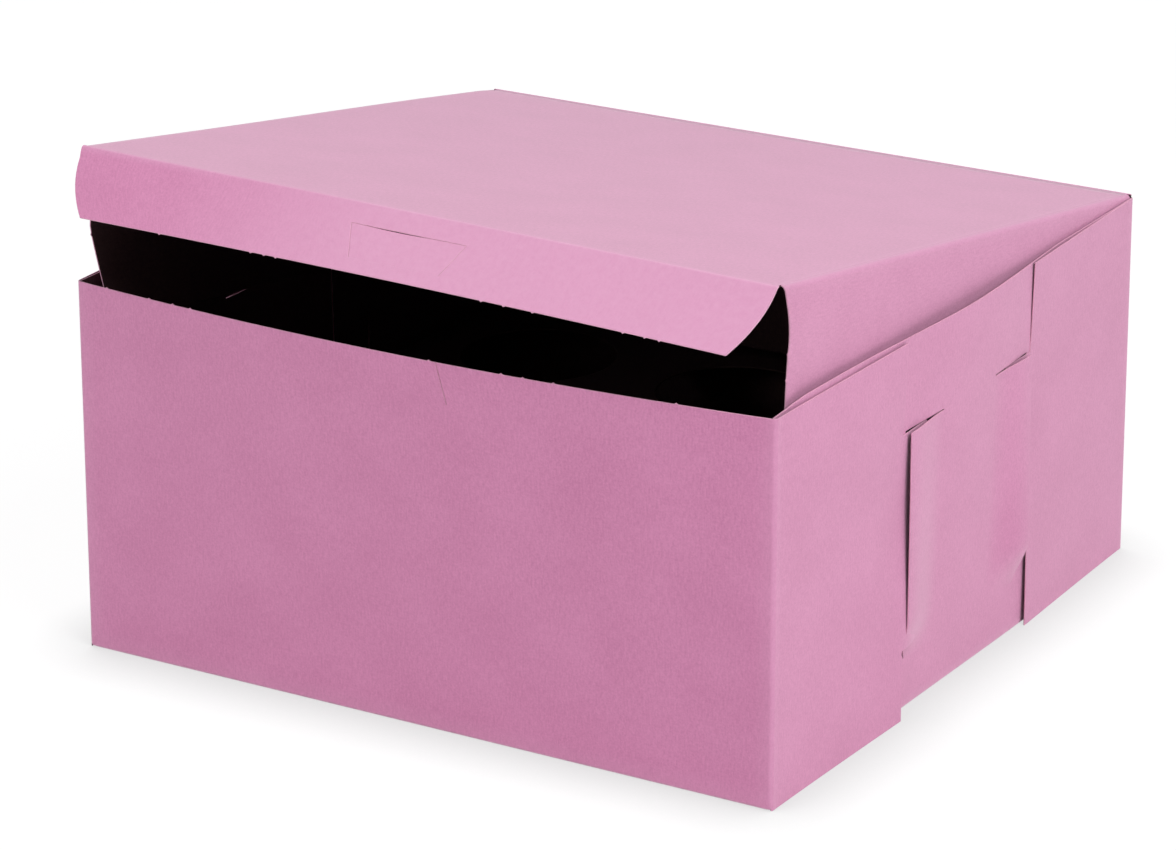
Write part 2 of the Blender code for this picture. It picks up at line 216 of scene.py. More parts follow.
class ColourSettings(PropertyGroup):
    """The board's colours."""

    pink: colour("Pink", "The outer face", (0.70, 0.246, 0.462))
    pink_deep: colour("Deep pink", "The darker fibres of the outer face", (0.58, 0.170, 0.360))
    # Also the colour of the highlight painted on the tuck flap and its lock tab
    pink_scuffed_and_lit: colour("Worn pink", "Rubbed creases", (0.76, 0.36, 0.56))
    brown: colour("Brown", "The inner face", (0.095, 0.044, 0.048))
    brown_deep: colour("Deep brown", "The darker fibres of the inner face", (0.060, 0.026, 0.029))
    cut: colour("Cut edge", "The board's core at a cut edge", (0.80, 0.46, 0.60))
    cut_deep: colour("Deep cut edge", "The darker fibres of a cut edge", (0.66, 0.30, 0.44))
    insert_cut: colour("Insert's cut edge", "The insert's core at a cut edge", (0.10, 0.055, 0.05))


class StageSettings(PropertyGroup):
    """The floor, the lamps and the camera."""

    azimuth: angle("Azimuth", "The camera's direction round the box", 30.7976)
    elevation: angle("Elevation", "The camera's height above the horizon", 20.1880)
    roll: angle("Roll", "The camera's roll", 0.1069)
    distance: length("Distance", "From the camera to the box's middle", 1.58153)
    shift_right: length("Shift right", "How far the box's middle lies right of the view's", 0.010342)
    shift_up: length("Shift up", "How far the box's middle lies above the view's", 0.001887)
    lens: number("Lens", "Focal length in millimetres", 145.083)
    floor: colour("Floor", "The floor's colour", (0.86, 0.86, 0.86))
    floor_seen: colour("Floor as seen", "Share of its light that the camera sees", (0.12, 0.12, 0.12))
    floor_glow: number("Floor glow", "Light added to the floor where the camera sees it", 0.925)
    # The painted contact shadow on the floor: how far its glow dims beside the box
    floor_contact: number("Floor contact", "How much of that light is missing close beside the box", 0.24)
    contact_reach: length("Contact reach", "How far from the box that light is missing", 0.028)
    ambient: number("Ambient", "Strength of the light from all round", 0.10)
    key: number("Key lamp", "Power of the key lamp, in watts", 33.0)
    fill: number("Fill lamp", "Power of the lamp on the front, in watts", 17.5)
    top: number("Top lamp", "Power of the lamp on the lid, in watts", 13.0)


class CupcakeBoxSettings(PropertyGroup):
    """All settings of the cupcake box."""

    board: PointerProperty(type=BoardSettings)
    tray: PointerProperty(type=TraySettings)
    lid: PointerProperty(type=LidSettings)
    insert: PointerProperty(type=InsertSettings)
    colours: PointerProperty(type=ColourSettings)
    stage: PointerProperty(type=StageSettings)


# Places of the nicks, the torn nibs that a die leaves along its cut edges
front_nicks = (-0.1151, -0.0971, -0.0873, -0.0801, 0.0145, 0.0371, 0.0445, 0.0550, 0.0958)
tuck_nicks = (-0.0893, -0.0503, -0.0453, -0.0409, 0.0337, 0.0416, 0.0517, 0.0858, 0.0951, 0.1012)
side_flap_nicks = (0.0207, 0.0289)

# Spans of the warps, in metres
pinch_start, pinch_span = 0.060, 0.050  # forward of the middle: the pinch of a side's rim
swell_in, swell_end, swell_out = 0.022, 0.010, 0.100  # back from the corner: the right rim's swell
swell_depth = 0.010  # down from the right rim: the board that the swell stretches
slit_near, slit_fade = 0.002, 0.020  # beside the front wall's slit: the shift of its lines
foot_near, foot_fade = 0.001, 0.014  # beside a lock slit: the shift towards its foot
tuck_in = 0.020  # inwards from a lock slit: a corner flap's tab, going behind the side wall
bulge_in, bulge_end, bulge_out = 0.012, 0.05, 0.15  # forward of the hinge: the bulge of the lid's left edge
lid_fade = 0.0007 * np.arange(5)  # inwards from the lid's edges: the lines that carry its wear
splay_fade = 0.004  # past a crease: what a flap keeps of the lid's splay
flare_start, flare_span = 0.10, 0.13  # forward of the hinge: the left flap's flare
slant_ease = 0.003  # below the flare: how softly the slant begins
right_tuck_depth, right_tuck_start, right_tuck_span = 0.042, 0.17, 0.06  # the right flap's tuck
inset_start = 0.06  # beside the tuck flap's middle: where its ends begin to curve in
end_lines = 0.03  # inwards from the tuck flap's ends: the finer lines
tab_near, tab_fade = 0.002, 0.030  # beside the lid's lock tab: the lean of its lines
mouth_share = 0.6  # of the lock tab's mouth: where the slit above it begins to close
highlight_reach = 0.11  # left of the tuck flap's middle: where its painted highlight begins

# How many lines a grid has across a bend, and where lines are set closer
side_bend_lines, tuck_bend_lines, leg_bend_lines, bead_lines = 13, 14, 9, 12
wing_lines, end_line_count, hole_lines = 13, 12, 16
first_ring = 0.004  # width of the first whole ring of cells round a cake hole, in metres
touching = 1e-6  # two lines nearer than this are one line
steepest = 0.999  # share of its radius up to which a crease's drop follows the circle

# Powers of the shares, from 0 to 1, by which the warps grow
rim_power, wall_power, lean_power, close_power, foot_power = 1.25, 1.3, 1.3, 4, 1.6
front_across_power, front_up_power = 0.88, 1.5
tuck_left_power, tuck_right_power = 2.05, 1.8

# Shares of a bend's arc: up to where a side flap keeps the lid's splay, what the tuck flap's bend lines
# cover, and where a crease is worn most
splay_share, bend_cover, worn_share = 0.7, 1.1, 0.3

# How far the wear of the lid's creases reaches, and where it is most on the lid's top, in metres
lid_worn_place, lid_worn_reach, side_worn_reach, tuck_worn_reach = -0.0003, 0.0014, 0.0016, 0.0015


# Lines of a sheet's grid

def smooth_rise(value, start=0.0, span=1.0):
    """0 up to the start and 1 from a span beyond it, with 3t^2 - 2t^3 between them."""
    share = np.clip((value - start) / span, 0.0, 1.0)
    return share * share * (3 - 2 * share)


def smooth_fall(value, start=0.0, span=1.0):
    """1 up to the start and 0 from a span beyond it."""
    return 1 - smooth_rise(value, start, span)


def cut_lines(place, inward, board):
    """Three lines at a cut edge, a rounding apart, so that only the last stretch of board rounds off."""
    return place + inward * board.rounding * np.arange(3)


def cut_ends(low, high, board):
    """The cut lines at both ends of a sheet."""
    return np.concatenate([cut_lines(low, 1, board), cut_lines(high, -1, board)])


def slit_lines(place, width, board):
    """The cut lines on both sides of a slit."""
    return np.concatenate([cut_lines(place - width / 2, -1, board), cut_lines(place + width / 2, 1, board)])


def crease_lines(corner, inward, radius):
    """Lines across half a square crease: R (1 - sin turn) from its corner, for turns of 45 to 0 degrees."""
    turns = np.radians([45, 44, 42, 39, 35, 30, 24, 18, 12, 6, 0])
    return corner + inward * radius * (1 - np.sin(turns))


def crease_ends(half, radius):
    """The crease lines at both ends of a sheet that reaches half its width either way."""
    return np.concatenate([crease_lines(-half, 1, radius), crease_lines(half, -1, radius)])


def nick_lines(places, board):
    """Five lines over each nick: its middle, its ends and half way between them."""
    spread = np.linspace(-0.5, 0.5, 5) * board.nick_width
    return (np.array(places)[:, None] + spread).ravel()


def grid_lines(cell, *marks):
    """Every marked line in order, with even lines between neighbours more than a cell apart."""
    marks = np.unique(np.round(np.concatenate([np.atleast_1d(mark) for mark in marks]), 7))
    counts = np.maximum(np.ceil(np.diff(marks) / cell), 1).astype(int)
    spans = [np.linspace(a, b, n, endpoint=False) for a, b, n in zip(marks[:-1], marks[1:], counts)]
    return np.concatenate(spans + [marks[-1:]])


def cell_middles(u, v):
    """The middles of a grid's cells, as a row along u and a column along v."""
    return (u[:-1] + u[1:])[None, :] / 2, (v[:-1] + v[1:])[:, None] / 2


def nick_rise(along, places, from_edge, board):
    """Height of the nicks over the edge: a triangle over each place, which dies away two roundings in."""
    away = np.abs(along[..., None] - np.array(places)).min(axis=-1)
    height = board.nick_height * np.clip(1 - away / (board.nick_width / 2), 0, 1)
    return height * smooth_fall(from_edge, 0.0, 2 * board.rounding)


def crease_drop(distance, radius):
    """How far a crease falls away at a distance d from its corner: R - sqrt(R^2 - (R - d)^2)."""
    inside = np.clip(radius - distance, 0, radius * steepest)
    return radius - np.sqrt(radius ** 2 - inside ** 2)


def crease_wear(distance, radius):
    """How scuffed the face is near a crease: exp of minus the squared distance in crease radii."""
    return np.exp(-(distance / radius) ** 2)


# Surfaces

def grid_quads(keep):
    """The four corners of each kept cell of a grid, anticlockwise."""
    rows, columns = keep.shape
    corner = np.arange(rows + 1)[:, None] * (columns + 1) + np.arange(columns + 1)[None, :]
    cells = np.stack([corner[:-1, :-1], corner[:-1, 1:], corner[1:, 1:], corner[1:, :-1]], axis=-1)
    return cells[keep]


def on_lines(values, *places):
    """Whether each value lies on one of these lines."""
    return (np.abs(values[..., None] - np.array(places)) < touching).any(axis=-1)


def raised(u, v, height):
    """The surface (u, v, h(u, v)) and its unit normal along (-dh/du, -dh/dv, 1), by central differences."""
    step = 1e-5
    slope_u = (height(u + step, v) - height(u - step, v)) / (2 * step)
    slope_v = (height(u, v + step) - height(u, v - step)) / (2 * step)
    points = np.stack([u, v, height(u, v)], axis=-1)
    normals = np.stack([-slope_u, -slope_v, np.ones_like(u)], axis=-1)
    return points, normals / np.linalg.norm(normals, axis=-1, keepdims=True)


def put(points, normals, axes):
    """Carry (u, v, w) into the box's frame: origin + u U + v V + w W, with axes' rows U, V, W and origin."""
    return points @ axes[:3] + axes[3], normals @ axes[:3]


def wall_axes(across, outward, origin):
    """Axes of an upright wall: u runs across, v up and w outward."""
    return np.array([(*across, 0), (0, 0, 1), (*outward, 0), origin], float)


def side_axes(side):
    """Axes of a side of the tray: u runs to the back on the right, and to the front on the left."""
    return wall_axes((0, side), (side, 0), (side * half_width, 0, 0))


def lid_axes(lid):
    """Axes of the lid: x to the right, y to the back and z up, turned up at the front by its opening."""
    cos, sin = math.cos(lid.open_angle), math.sin(lid.open_angle)
    return np.array([(1, 0, 0), (0, cos, -sin), (0, sin, cos), hinge_place], float)


def add_board(name, skin, quads, thickness, rounding, finishes):
    """Make a sheet of board from its outer face.

    Its skin holds, for each point, where it is, its normal, its place on the die-cut sheet, how much paler it
    is painted, for a scuffed crease and for a painted highlight, and whether it lies on a crease. The inner
    face lies the thickness behind each point, along its normal. A side of a quad that no other quad runs back
    along is a border, and a strip joins the two faces there. Points on a cut border sink into both faces by
    the rounding; a border along a crease stays square and its strip is flat.
    """
    points, normals, place = (values.reshape(-1, values.shape[-1]) for values in skin[:3])
    wear, crease = (values.ravel() for values in skin[3:])
    count = len(points)
    a, b, c = (points[quads[:, corner]] for corner in (0, 1, 2))
    if np.einsum("ij,ij->i", np.cross(b - a, c - b), normals[quads[:, 0]]).sum() < 0:
        quads = quads[:, ::-1]

    start, end = quads.ravel(), np.roll(quads, -1, axis=1).ravel()
    border = ~np.isin(start * count + end, end * count + start)
    start, end = start[border], end[border]
    folded = crease[start] & crease[end]
    sunk = np.zeros(count)
    sunk[start[~folded]] = sunk[end[~folded]] = rounding
    outer = points - normals * sunk[:, None]
    inner = points - normals * (thickness - sunk)[:, None]
    strips = np.stack([start + count, end + count, end, start], axis=1)
    faces = np.concatenate([quads, quads[:, ::-1] + count, strips])
    cut = (sunk[quads] > 0).any(axis=1)
    finish = np.concatenate([np.where(cut, 2, 0), np.full(len(quads), 1), np.where(folded, 1, 2)])
    smooth = np.concatenate([np.ones(2 * len(quads), bool), ~folded])

    used, faces = np.unique(faces, return_inverse=True)
    places = np.concatenate([outer, inner])[used]
    side = np.repeat([0.0, 1.0], count)
    flat = np.column_stack([np.tile(place, (2, 1)), side])[used]
    mesh = bpy.data.meshes.new(name)
    mesh.vertices.add(len(places))
    mesh.vertices.foreach_set("co", places.astype(np.float32).ravel())
    mesh.loops.add(faces.size)
    mesh.loops.foreach_set("vertex_index", faces.astype(np.int32).ravel())
    mesh.polygons.add(len(finish))
    mesh.polygons.foreach_set("loop_start", np.arange(0, faces.size, 4, dtype=np.int32))
    mesh.polygons.foreach_set("material_index", finish.astype(np.int32))
    mesh.polygons.foreach_set("use_smooth", smooth)
    mesh.attributes.new("board_place", "FLOAT_VECTOR", "POINT").data.foreach_set(
        "vector", flat.astype(np.float32).ravel())
    mesh.attributes.new("wear", "FLOAT", "POINT").data.foreach_set(
        "value", np.tile(wear, 2)[used].astype(np.float32))
    for material in finishes:
        mesh.materials.append(material)
    mesh.update(calc_edges=True)
    if mesh.validate():
        raise RuntimeError(name + " has faces that aren't valid")
    piece = bpy.data.objects.new(name, mesh)
    bpy.context.scene.collection.objects.link(piece)
    return piece


def add_panel(box, name, skin, keep=None, thickness=None):
    """Make a panel of the box's board from a grid, with all of its cells or those to keep."""
    if keep is None:
        keep = np.ones(np.subtract(skin[-1].shape, 1), bool)
    board = box.board
    return add_board(name, skin, grid_quads(keep), thickness or board.thickness, board.rounding,
                     box_finishes(box.colours))


def stand_for(piece, node, body):
    """Let a finished piece stand for a solid of the frame and move with its body."""
    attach(piece, body)
    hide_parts(node)


def fold_for(piece, node, bodies, slot, start, end):
    """Let a creased piece stand for a solid: its place is baked into its mesh and the solid is hidden."""
    tuple(start)
    tuple(end)
    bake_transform(piece)
    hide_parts(node)


# Finishes

def new_material(name):
    """An empty material with an output and a Principled shader."""
    material = bpy.data.materials.new(name)
    material.use_nodes = True
    nodes = material.node_tree.nodes
    return material, nodes, material.node_tree.links, nodes["Principled BSDF"]


def add_node(nodes, kind, links=None, inputs=(), **settings):
    """Add a node, set its plain values and link its inputs."""
    node = nodes.new(kind)
    for key, value in settings.items():
        setattr(node, key, value)
    for key, value in dict(inputs).items():
        if isinstance(value, bpy.types.NodeSocket):
            links.new(value, node.inputs[key])
        else:
            node.inputs[key].default_value = value
    return node


def add_math(nodes, links, operation, *values):
    """Add a Math node that works on these values or sockets, and give its result."""
    return add_node(nodes, "ShaderNodeMath", links, enumerate(values), operation=operation).outputs[0]


def add_noise(nodes, links, place, scale, detail, roughness, distortion=0.0):
    """Add a noise over the sheet, and give its value."""
    return add_node(nodes, "ShaderNodeTexNoise", links, {
        "Vector": place, "Scale": scale, "Detail": detail, "Roughness": roughness,
        "Distortion": distortion}).outputs["Fac"]


def add_mix(nodes, links, factor, first, second):
    """Mix two colours, and give the result."""
    return add_node(nodes, "ShaderNodeMix", links, {"Factor": factor, "A": first, "B": second},
                    data_type="RGBA").outputs["Result"]


def board_material(name, pale, deep, scuffed_and_lit_colour, roughness, sheen):
    """Matte fibrous board.

    Its colour moves between deep and pale with the weighted sum of three noises on the die-cut sheet: fibres
    drawn out along the grain, fine speckle and slow mottle. The finer two also make a slight bump. Scuffed
    creases are painted paler, in patches, and the same paler colour paints a highlight on the tuck flap and
    its lock tab.
    """
    found = bpy.data.materials.get(name)
    if found:
        return found
    material, nodes, links, shader = new_material(name)
    place = add_node(nodes, "ShaderNodeAttribute", attribute_name="board_place").outputs["Vector"]
    drawn = add_node(nodes, "ShaderNodeMapping", links, {"Vector": place, "Scale": (1, 0.22, 1)})
    fibre = add_noise(nodes, links, drawn.outputs["Vector"], 1500, 3, 0.6, 0.3)
    speckle = add_noise(nodes, links, place, 1300, 3, 0.7)
    mottle = add_noise(nodes, links, place, 38, 3, 0.5)
    fine = add_math(nodes, links, "MULTIPLY_ADD", fibre, 0.5, 0.0)
    finer = add_math(nodes, links, "MULTIPLY_ADD", speckle, 0.7, fine)
    blend = add_math(nodes, links, "MULTIPLY_ADD", mottle, 0.3, finer)
    share = add_node(nodes, "ShaderNodeMapRange", links, {
        "Value": blend, "From Min": 0.60, "From Max": 0.90, "To Min": 0.0, "To Max": 1.0})
    ground = add_mix(nodes, links, share.outputs["Result"], (*deep, 1), (*pale, 1))
    # Paler where creases are scuffed, and where a highlight is painted on the tuck flap and lock tab
    scuff_and_highlight = add_node(nodes, "ShaderNodeAttribute", attribute_name="wear").outputs["Fac"]
    patch = add_noise(nodes, links, place, 420, 4, 0.7)
    soft = add_math(nodes, links, "MULTIPLY_ADD", patch, 0.4, 0.3)
    scuff_and_highlight_patches = add_math(nodes, links, "MULTIPLY", scuff_and_highlight, soft)
    links.new(add_mix(nodes, links, scuff_and_highlight_patches, ground, (*scuffed_and_lit_colour, 1)), shader.inputs["Base Color"])
    gloss = add_node(nodes, "ShaderNodeMapRange", links, {
        "Value": mottle, "To Min": roughness - 0.06, "To Max": roughness + 0.06})
    links.new(gloss.outputs["Result"], shader.inputs["Roughness"])
    bump = add_node(nodes, "ShaderNodeBump", links, {
        "Height": finer, "Strength": 0.30, "Distance": 0.00008})
    links.new(bump.outputs["Normal"], shader.inputs["Normal"])
    shader.inputs["Specular IOR Level"].default_value = 0.4
    shader.inputs["Sheen Weight"].default_value = sheen
    shader.inputs["Sheen Roughness"].default_value = 0.62
    shader.inputs["Sheen Tint"].default_value = (1.0, 0.93, 0.97, 1.0)
    return material


def brown_finish(colours):
    """The box's inner face, which is also the insert's."""
    return board_material("brown_board_face", colours.brown, colours.brown_deep, colours.brown, 0.8, 0.0)


def box_finishes(colours):
    """The box's outer face, inner face and cut edge."""
    return (
        board_material("pink_board_face", colours.pink, colours.pink_deep, colours.pink_scuffed_and_lit, 0.62, 0.5),
        brown_finish(colours),
        board_material("cut_board_edge", colours.cut, colours.cut_deep, colours.cut, 0.85, 0.0),
    )


def insert_finishes(colours):
    """The insert's two faces and its cut edge."""
    brown, cut = brown_finish(colours), colours.insert_cut
    return brown, brown, board_material("insert_board_edge", cut, colours.brown, cut, 0.85, 0.0)


# The tray

def side_stand(y, v, tray, board):
    """How far a side wall stands out at y along it and v up.

    Its bottom crease sways in at the front and out at the back by foot bow * sin(one turn over the side's
    length). Its rim stands out by the side bow * cos^1.25 of a quarter turn over the bow's reach, less the
    pinch near the front corner, and the wall goes from one to the other by 1 - (1 - height share)^1.3.
    """
    up = np.clip(v / wall_top, 0, 1)
    foot = tray.foot_bow * np.sin(np.pi * y / half_depth)
    away = np.clip((y - tray.side_bow_middle) / tray.side_bow_reach, -1, 1)
    rim = tray.side_bow * np.abs(np.cos(away * np.pi / 2)) ** rim_power
    rim = rim - tray.side_pinch * smooth_rise(-y, pinch_start, pinch_span)
    rise = 1 - (1 - up) ** wall_power
    return -board.layer + foot * (1 - rise) + rim * rise


def rim_swell(y):
    """How much of its rise the right side's rim has at y: it comes up behind the corner and dies away."""
    return smooth_rise(y, -half_depth, swell_in) * smooth_rise(-y, -swell_end, swell_out)


def flap_stand(d, v, end, tray):
    """How far a corner flap stands out at d from its corner and v up.

    It leans out by the lean * share^1.3 of its length, and its tab draws it back by the pull * share^2,
    most at the tab's height and less above and below by exp of minus the squared height in spreads. The
    flaps at the back, where end is 1, do so less.
    """
    share = np.clip(d / tray.flap_length, 0, 1)
    pull = np.exp(-((v - tray.flap_pull_height) / tray.flap_pull_spread) ** 2)
    stand = tray.flap_lean * share ** lean_power - tray.flap_pull * share ** 2 * pull
    return stand * (tray.back_lean if end > 0 else 1)


def corner_draw(side, end, v, tray):
    """How far a corner of the tray is drawn in at the height v: all but the front right one lean in."""
    return 0 * v if side > 0 > end else tray.corner_draw * np.clip(v / wall_top, 0, 1)


def from_lock_slit(u, tray):
    """How far a place along the side lies inside the nearer lock slit."""
    return half_depth - tray.flap_length - tray.slit_clearance - np.abs(u)


def wing_lift(u, tray):
    """How proud a wing stands: 1 at its slit, falling smoothly to 0 at the end of the slit's arm."""
    return smooth_fall(from_lock_slit(u, tray), 0.0, tray.slit_arm)


def add_flat_panel(box, name, node, half_u, v_lines, from_crease, from_edge, widen, axes):
    """A flat panel with half a crease along its sides: it falls away there by crease_drop.

    from_crease and from_edge give the distance of v from its nearest crease to fall at and from its nearest
    worn edge, and widen how much the panel grows across at v.
    """
    board, radius = box.board, box.board.crease_radius
    u, v = np.meshgrid(grid_lines(board.cell, crease_ends(half_u, radius)), grid_lines(board.cell, *v_lines))
    crease = on_lines(u, u.min(), u.max()) | on_lines(v, v.min(), v.max())

    def height(u, v):
        return -crease_drop(half_u - np.abs(u), radius) - crease_drop(from_crease(v), radius)

    points, normals = raised(u, v, height)
    points[..., 0] *= widen(v)
    wear = crease_wear(np.minimum(half_u - np.abs(u), from_edge(v)), radius)
    piece = add_panel(box, name, (*put(points, normals, axes), np.stack([u, v], -1), wear, crease))
    stand_for(piece, node, "tray")


def add_floor_panel(box):
    """The floor: flat, with half a crease along each side, swaying with the side walls' feet."""
    tray, board = box.tray, box.board
    half_u = half_width - board.layer

    def from_side(v):
        return half_depth - np.abs(v)

    def widen(v):
        return 1 + (side_stand(-v, 0 * v, tray, board) + board.layer) / half_u

    axes = np.array([(1, 0, 0), (0, -1, 0), (0, 0, -1), (0, 0, 0)], float)
    add_flat_panel(box, "floor_board", "bottom_panel", half_u, [crease_ends(half_depth, board.crease_radius)],
                   from_side, from_side, widen, axes)


def add_front_wall(box):
    """The front wall: it bows out by bow * cos^0.88(half turn over its width) * (height share)^1.5."""
    board, tray, radius = box.board, box.tray, box.board.crease_radius
    slit_end = tray.front_slit_place + tray.front_slit_lean
    slit_bottom = wall_top - tray.front_slit_depth
    u = grid_lines(
        board.cell, crease_ends(half_width, radius), slit_lines(slit_end, tray.front_slit_width, board),
        nick_lines(front_nicks, board))
    v = grid_lines(
        board.cell, crease_lines(0, 1, radius), cut_lines(wall_top, -1, board),
        cut_lines(slit_bottom, -1, board))
    middle_u, middle_v = cell_middles(u, v)
    keep = ~((np.abs(middle_u - slit_end) < tray.front_slit_width / 2) & (middle_v > slit_bottom))
    u, v = np.meshgrid(u, v)
    crease = on_lines(u, u.min(), u.max()) | on_lines(v, v.min())
    place = np.stack([u, v], -1)
    up_slit = np.clip((v - slit_bottom) / tray.front_slit_depth, 0, 1)
    near = smooth_fall(np.abs(u - slit_end), slit_near, slit_fade)
    rise = nick_rise(u, front_nicks, wall_top - v, board)
    u = u - tray.front_slit_lean * up_slit * near
    v = v + rise
    straight = 2 * (half_width - radius)

    def height(u, v):
        across = np.abs(np.cos(np.pi * np.clip(u / straight, -0.5, 0.5)))
        bow = tray.front_bow * across ** front_across_power * (v / wall_top) ** front_up_power
        return bow - crease_drop(half_width - np.abs(u), radius) - crease_drop(v, radius)

    points, normals = raised(u, v, height)
    points[..., 0] += corner_draw(-1, -1, v, tray) * np.clip(-u / half_width, 0, 1)
    wear = crease_wear(np.minimum(half_width - np.abs(u), v), radius)
    axes = wall_axes((1, 0), (0, -1), (0, -half_depth, 0))
    piece = add_panel(box, "front_wall_board", (*put(points, normals, axes), place, wear, crease), keep)
    stand_for(piece, "front_panel", "tray")


def add_back_wall(box):
    """The back wall: flat, because the lid's crease holds its top edge straight."""
    def from_foot(v):
        return v

    def from_edge(v):
        return np.minimum(v, wall_top - v)

    def widen(v):
        return 1 - corner_draw(1, 1, v, box.tray) / half_width

    axes = wall_axes((-1, 0), (0, 1), (0, half_depth, 0))
    add_flat_panel(box, "back_wall_board", "back_panel", half_width,
                   [crease_lines(0, 1, box.board.crease_radius), wall_top], from_foot, from_edge, widen, axes)


def add_side_wall(box, side_name, side):
    """A side wall: it stands out as side_stand says, and its wings ride over the tabs.

    The right side's rim rises near its front corner by the side rise * rim_swell, and there the wall goes
    out to the corner flap by rim_swell * height share^4.

    A lock slit is a column of cells left out, with a row for its arm, and the lines near its foot are drawn
    towards the middle. Inside the slit the wing stands out, fading along the arm and down the foot.
    """
    board, tray, radius = box.board, box.tray, box.board.crease_radius
    half_u = half_depth - board.layer
    slit = from_lock_slit(0.0, tray)
    arm_end = slit - tray.slit_arm
    foot_end = tray.slit_low - tray.foot_drop
    width = tray.slit_width
    fade = np.linspace(arm_end, slit, wing_lines)[1:-1]
    u = grid_lines(
        board.cell, cut_ends(-half_u, half_u, board), slit_lines(slit, width, board),
        slit_lines(-slit, width, board), cut_lines(arm_end, -1, board), cut_lines(-arm_end, 1, board),
        fade, -fade)
    v = grid_lines(
        board.cell / 2, crease_lines(0, 1, radius), cut_lines(wall_top, -1, board),
        slit_lines(tray.slit_top, width, board), cut_lines(foot_end, -1, board))
    middle_u, middle_v = cell_middles(u, v)
    middle_u = np.abs(middle_u)
    column = (np.abs(middle_u - slit) < width / 2) & (middle_v > foot_end)
    column = column & (middle_v < tray.slit_top + width / 2)
    row = (np.abs(middle_v - tray.slit_top) < width / 2) & (middle_u > arm_end)
    row = row & (middle_u < slit + width / 2)
    keep = ~(column | row)
    u, v = np.meshgrid(u, v)
    crease = on_lines(v, v.min())
    place = np.stack([u, v], -1)
    wing = (np.abs(u) < slit) & (v < tray.slit_top)
    proud = wing_lift(u, tray) * smooth_rise(v, foot_end, tray.wing_foot - foot_end)
    wing_rise = np.where(wing, proud, 0)
    down_foot = np.clip((tray.slit_low - v) / tray.foot_drop, 0, 1) ** foot_power
    near = smooth_fall(np.abs(np.abs(u) - slit), foot_near, foot_fade)
    u = u - np.sign(u) * tray.foot_reach * down_foot * near
    if side > 0:
        v = v + tray.side_rise * rim_swell(u) * smooth_rise(v, wall_top - swell_depth, swell_depth)

    def height(u, v):
        stand = side_stand(side * u, v, tray, board)
        if side > 0:
            room = flap_stand(half_depth + u, v, -1, tray) - board.layer - stand
            stand = stand + room * rim_swell(u) * np.clip(v / wall_top, 0, 1) ** close_power
        return stand - crease_drop(v, radius)

    points, normals = raised(u, v, height)
    down = np.clip((tray.slit_top - v) / (tray.slit_top - foot_end), 0, 1)
    points[..., 2] += (tray.wing_stand + (tray.wing_stand_low - tray.wing_stand) * down) * wing_rise
    skin = (*put(points, normals, side_axes(side)), place, crease_wear(v, radius), crease)
    piece = add_panel(box, side_name + "_wall_board", skin, keep)
    stand_for(piece, side_name + "_side_panel", "tray")


def add_corner_flap(box, side_name, side, end_name, end):
    """A corner flap: d runs from the corner's crease to the end of its lock tab.

    It stands out as flap_stand says. Past the lock slit its tab goes over smoothly to a layer behind the
    side wall, and the tab's end is drawn in, which cuts its corners off.
    """
    board, tray, radius = box.board, box.tray, box.board.crease_radius
    edge, tab_end = tray.flap_length, tray.flap_length + tray.tab_reach
    tab_low = tray.back_tab_low if end > 0 else tray.tab_low
    d = grid_lines(
        board.cell / 2, crease_lines(0, 1, radius), cut_lines(edge, -1, board), edge + tray.slit_clearance,
        cut_lines(tab_end, -1, board), tab_end - tray.tab_chamfer)
    v = grid_lines(
        board.cell, cut_ends(tray.flap_lift, wall_top, board), cut_ends(tab_low, tray.tab_top, board))
    middle_d, middle_v = cell_middles(d, v)
    keep = (middle_d < edge) | ((middle_v > tab_low) & (middle_v < tray.tab_top))
    d, v = np.meshgrid(d, v)
    crease = on_lines(d, d.min())
    place = np.stack([d + half_width, v], -1)
    tab_middle, tab_half = (tray.tab_top + tab_low) / 2, (tray.tab_top - tab_low) / 2
    past = np.clip(d - (tab_end - tray.tab_chamfer), 0, None)
    v = tab_middle + (v - tab_middle) * (1 - past / tab_half)
    u = end * side * (half_depth - d)

    def height(u, v):
        from_corner = half_depth - np.abs(u)
        free = flap_stand(from_corner, v, end, tray)
        tucked = side_stand(side * u, v, tray, board) - board.layer
        behind = smooth_rise(from_lock_slit(u, tray), 0.0, tuck_in)
        drawn = corner_draw(side, end, v, tray) * np.clip(1 - from_corner / tray.flap_length, 0, 1)
        return free + (tucked - free) * behind - drawn - crease_drop(from_corner, radius)

    skin = (*put(*raised(u, v, height), side_axes(side)), place, crease_wear(d, radius), crease)
    name = end_name + "_" + side_name + "_corner_flap"
    stand_for(add_panel(box, name + "_board", skin, keep), name, "tray")


# Folds: a flap that turns down from a flat panel

def fold_start(hinge, top, fold, radius, thickness):
    """Where a fold's bend begins: its a, and how far the flap's hinge lies behind the arc's end.

    hinge is the flap's hinge (a, z), a being outward, at the middle of its board, and top the z of the
    panel's outer face.
    """
    base_a = hinge[0] + np.sin(fold) * thickness / 2
    base_z = hinge[1] + np.cos(fold) * thickness / 2
    before = (base_z - top) / np.sin(fold)
    reach = radius * np.tan(fold / 2)
    return base_a + np.cos(fold) * before - reach, before + reach - radius * fold


def fold_path(start, top, fold, radius, s):
    """The outer face of a fold at a distance s from the start of its bend: a, z and the normal's two parts.

    The bend is an arc of the radius through the fold, and then the path runs straight along the flap.
    """
    turn = np.clip(s / radius, 0, fold)
    beyond = np.clip(s - radius * fold, 0, None)
    a = start + radius * np.sin(turn) + beyond * np.cos(fold)
    z = top - radius + radius * np.cos(turn) - beyond * np.sin(fold)
    return a + np.clip(s, None, 0), z, np.sin(turn), np.cos(turn)


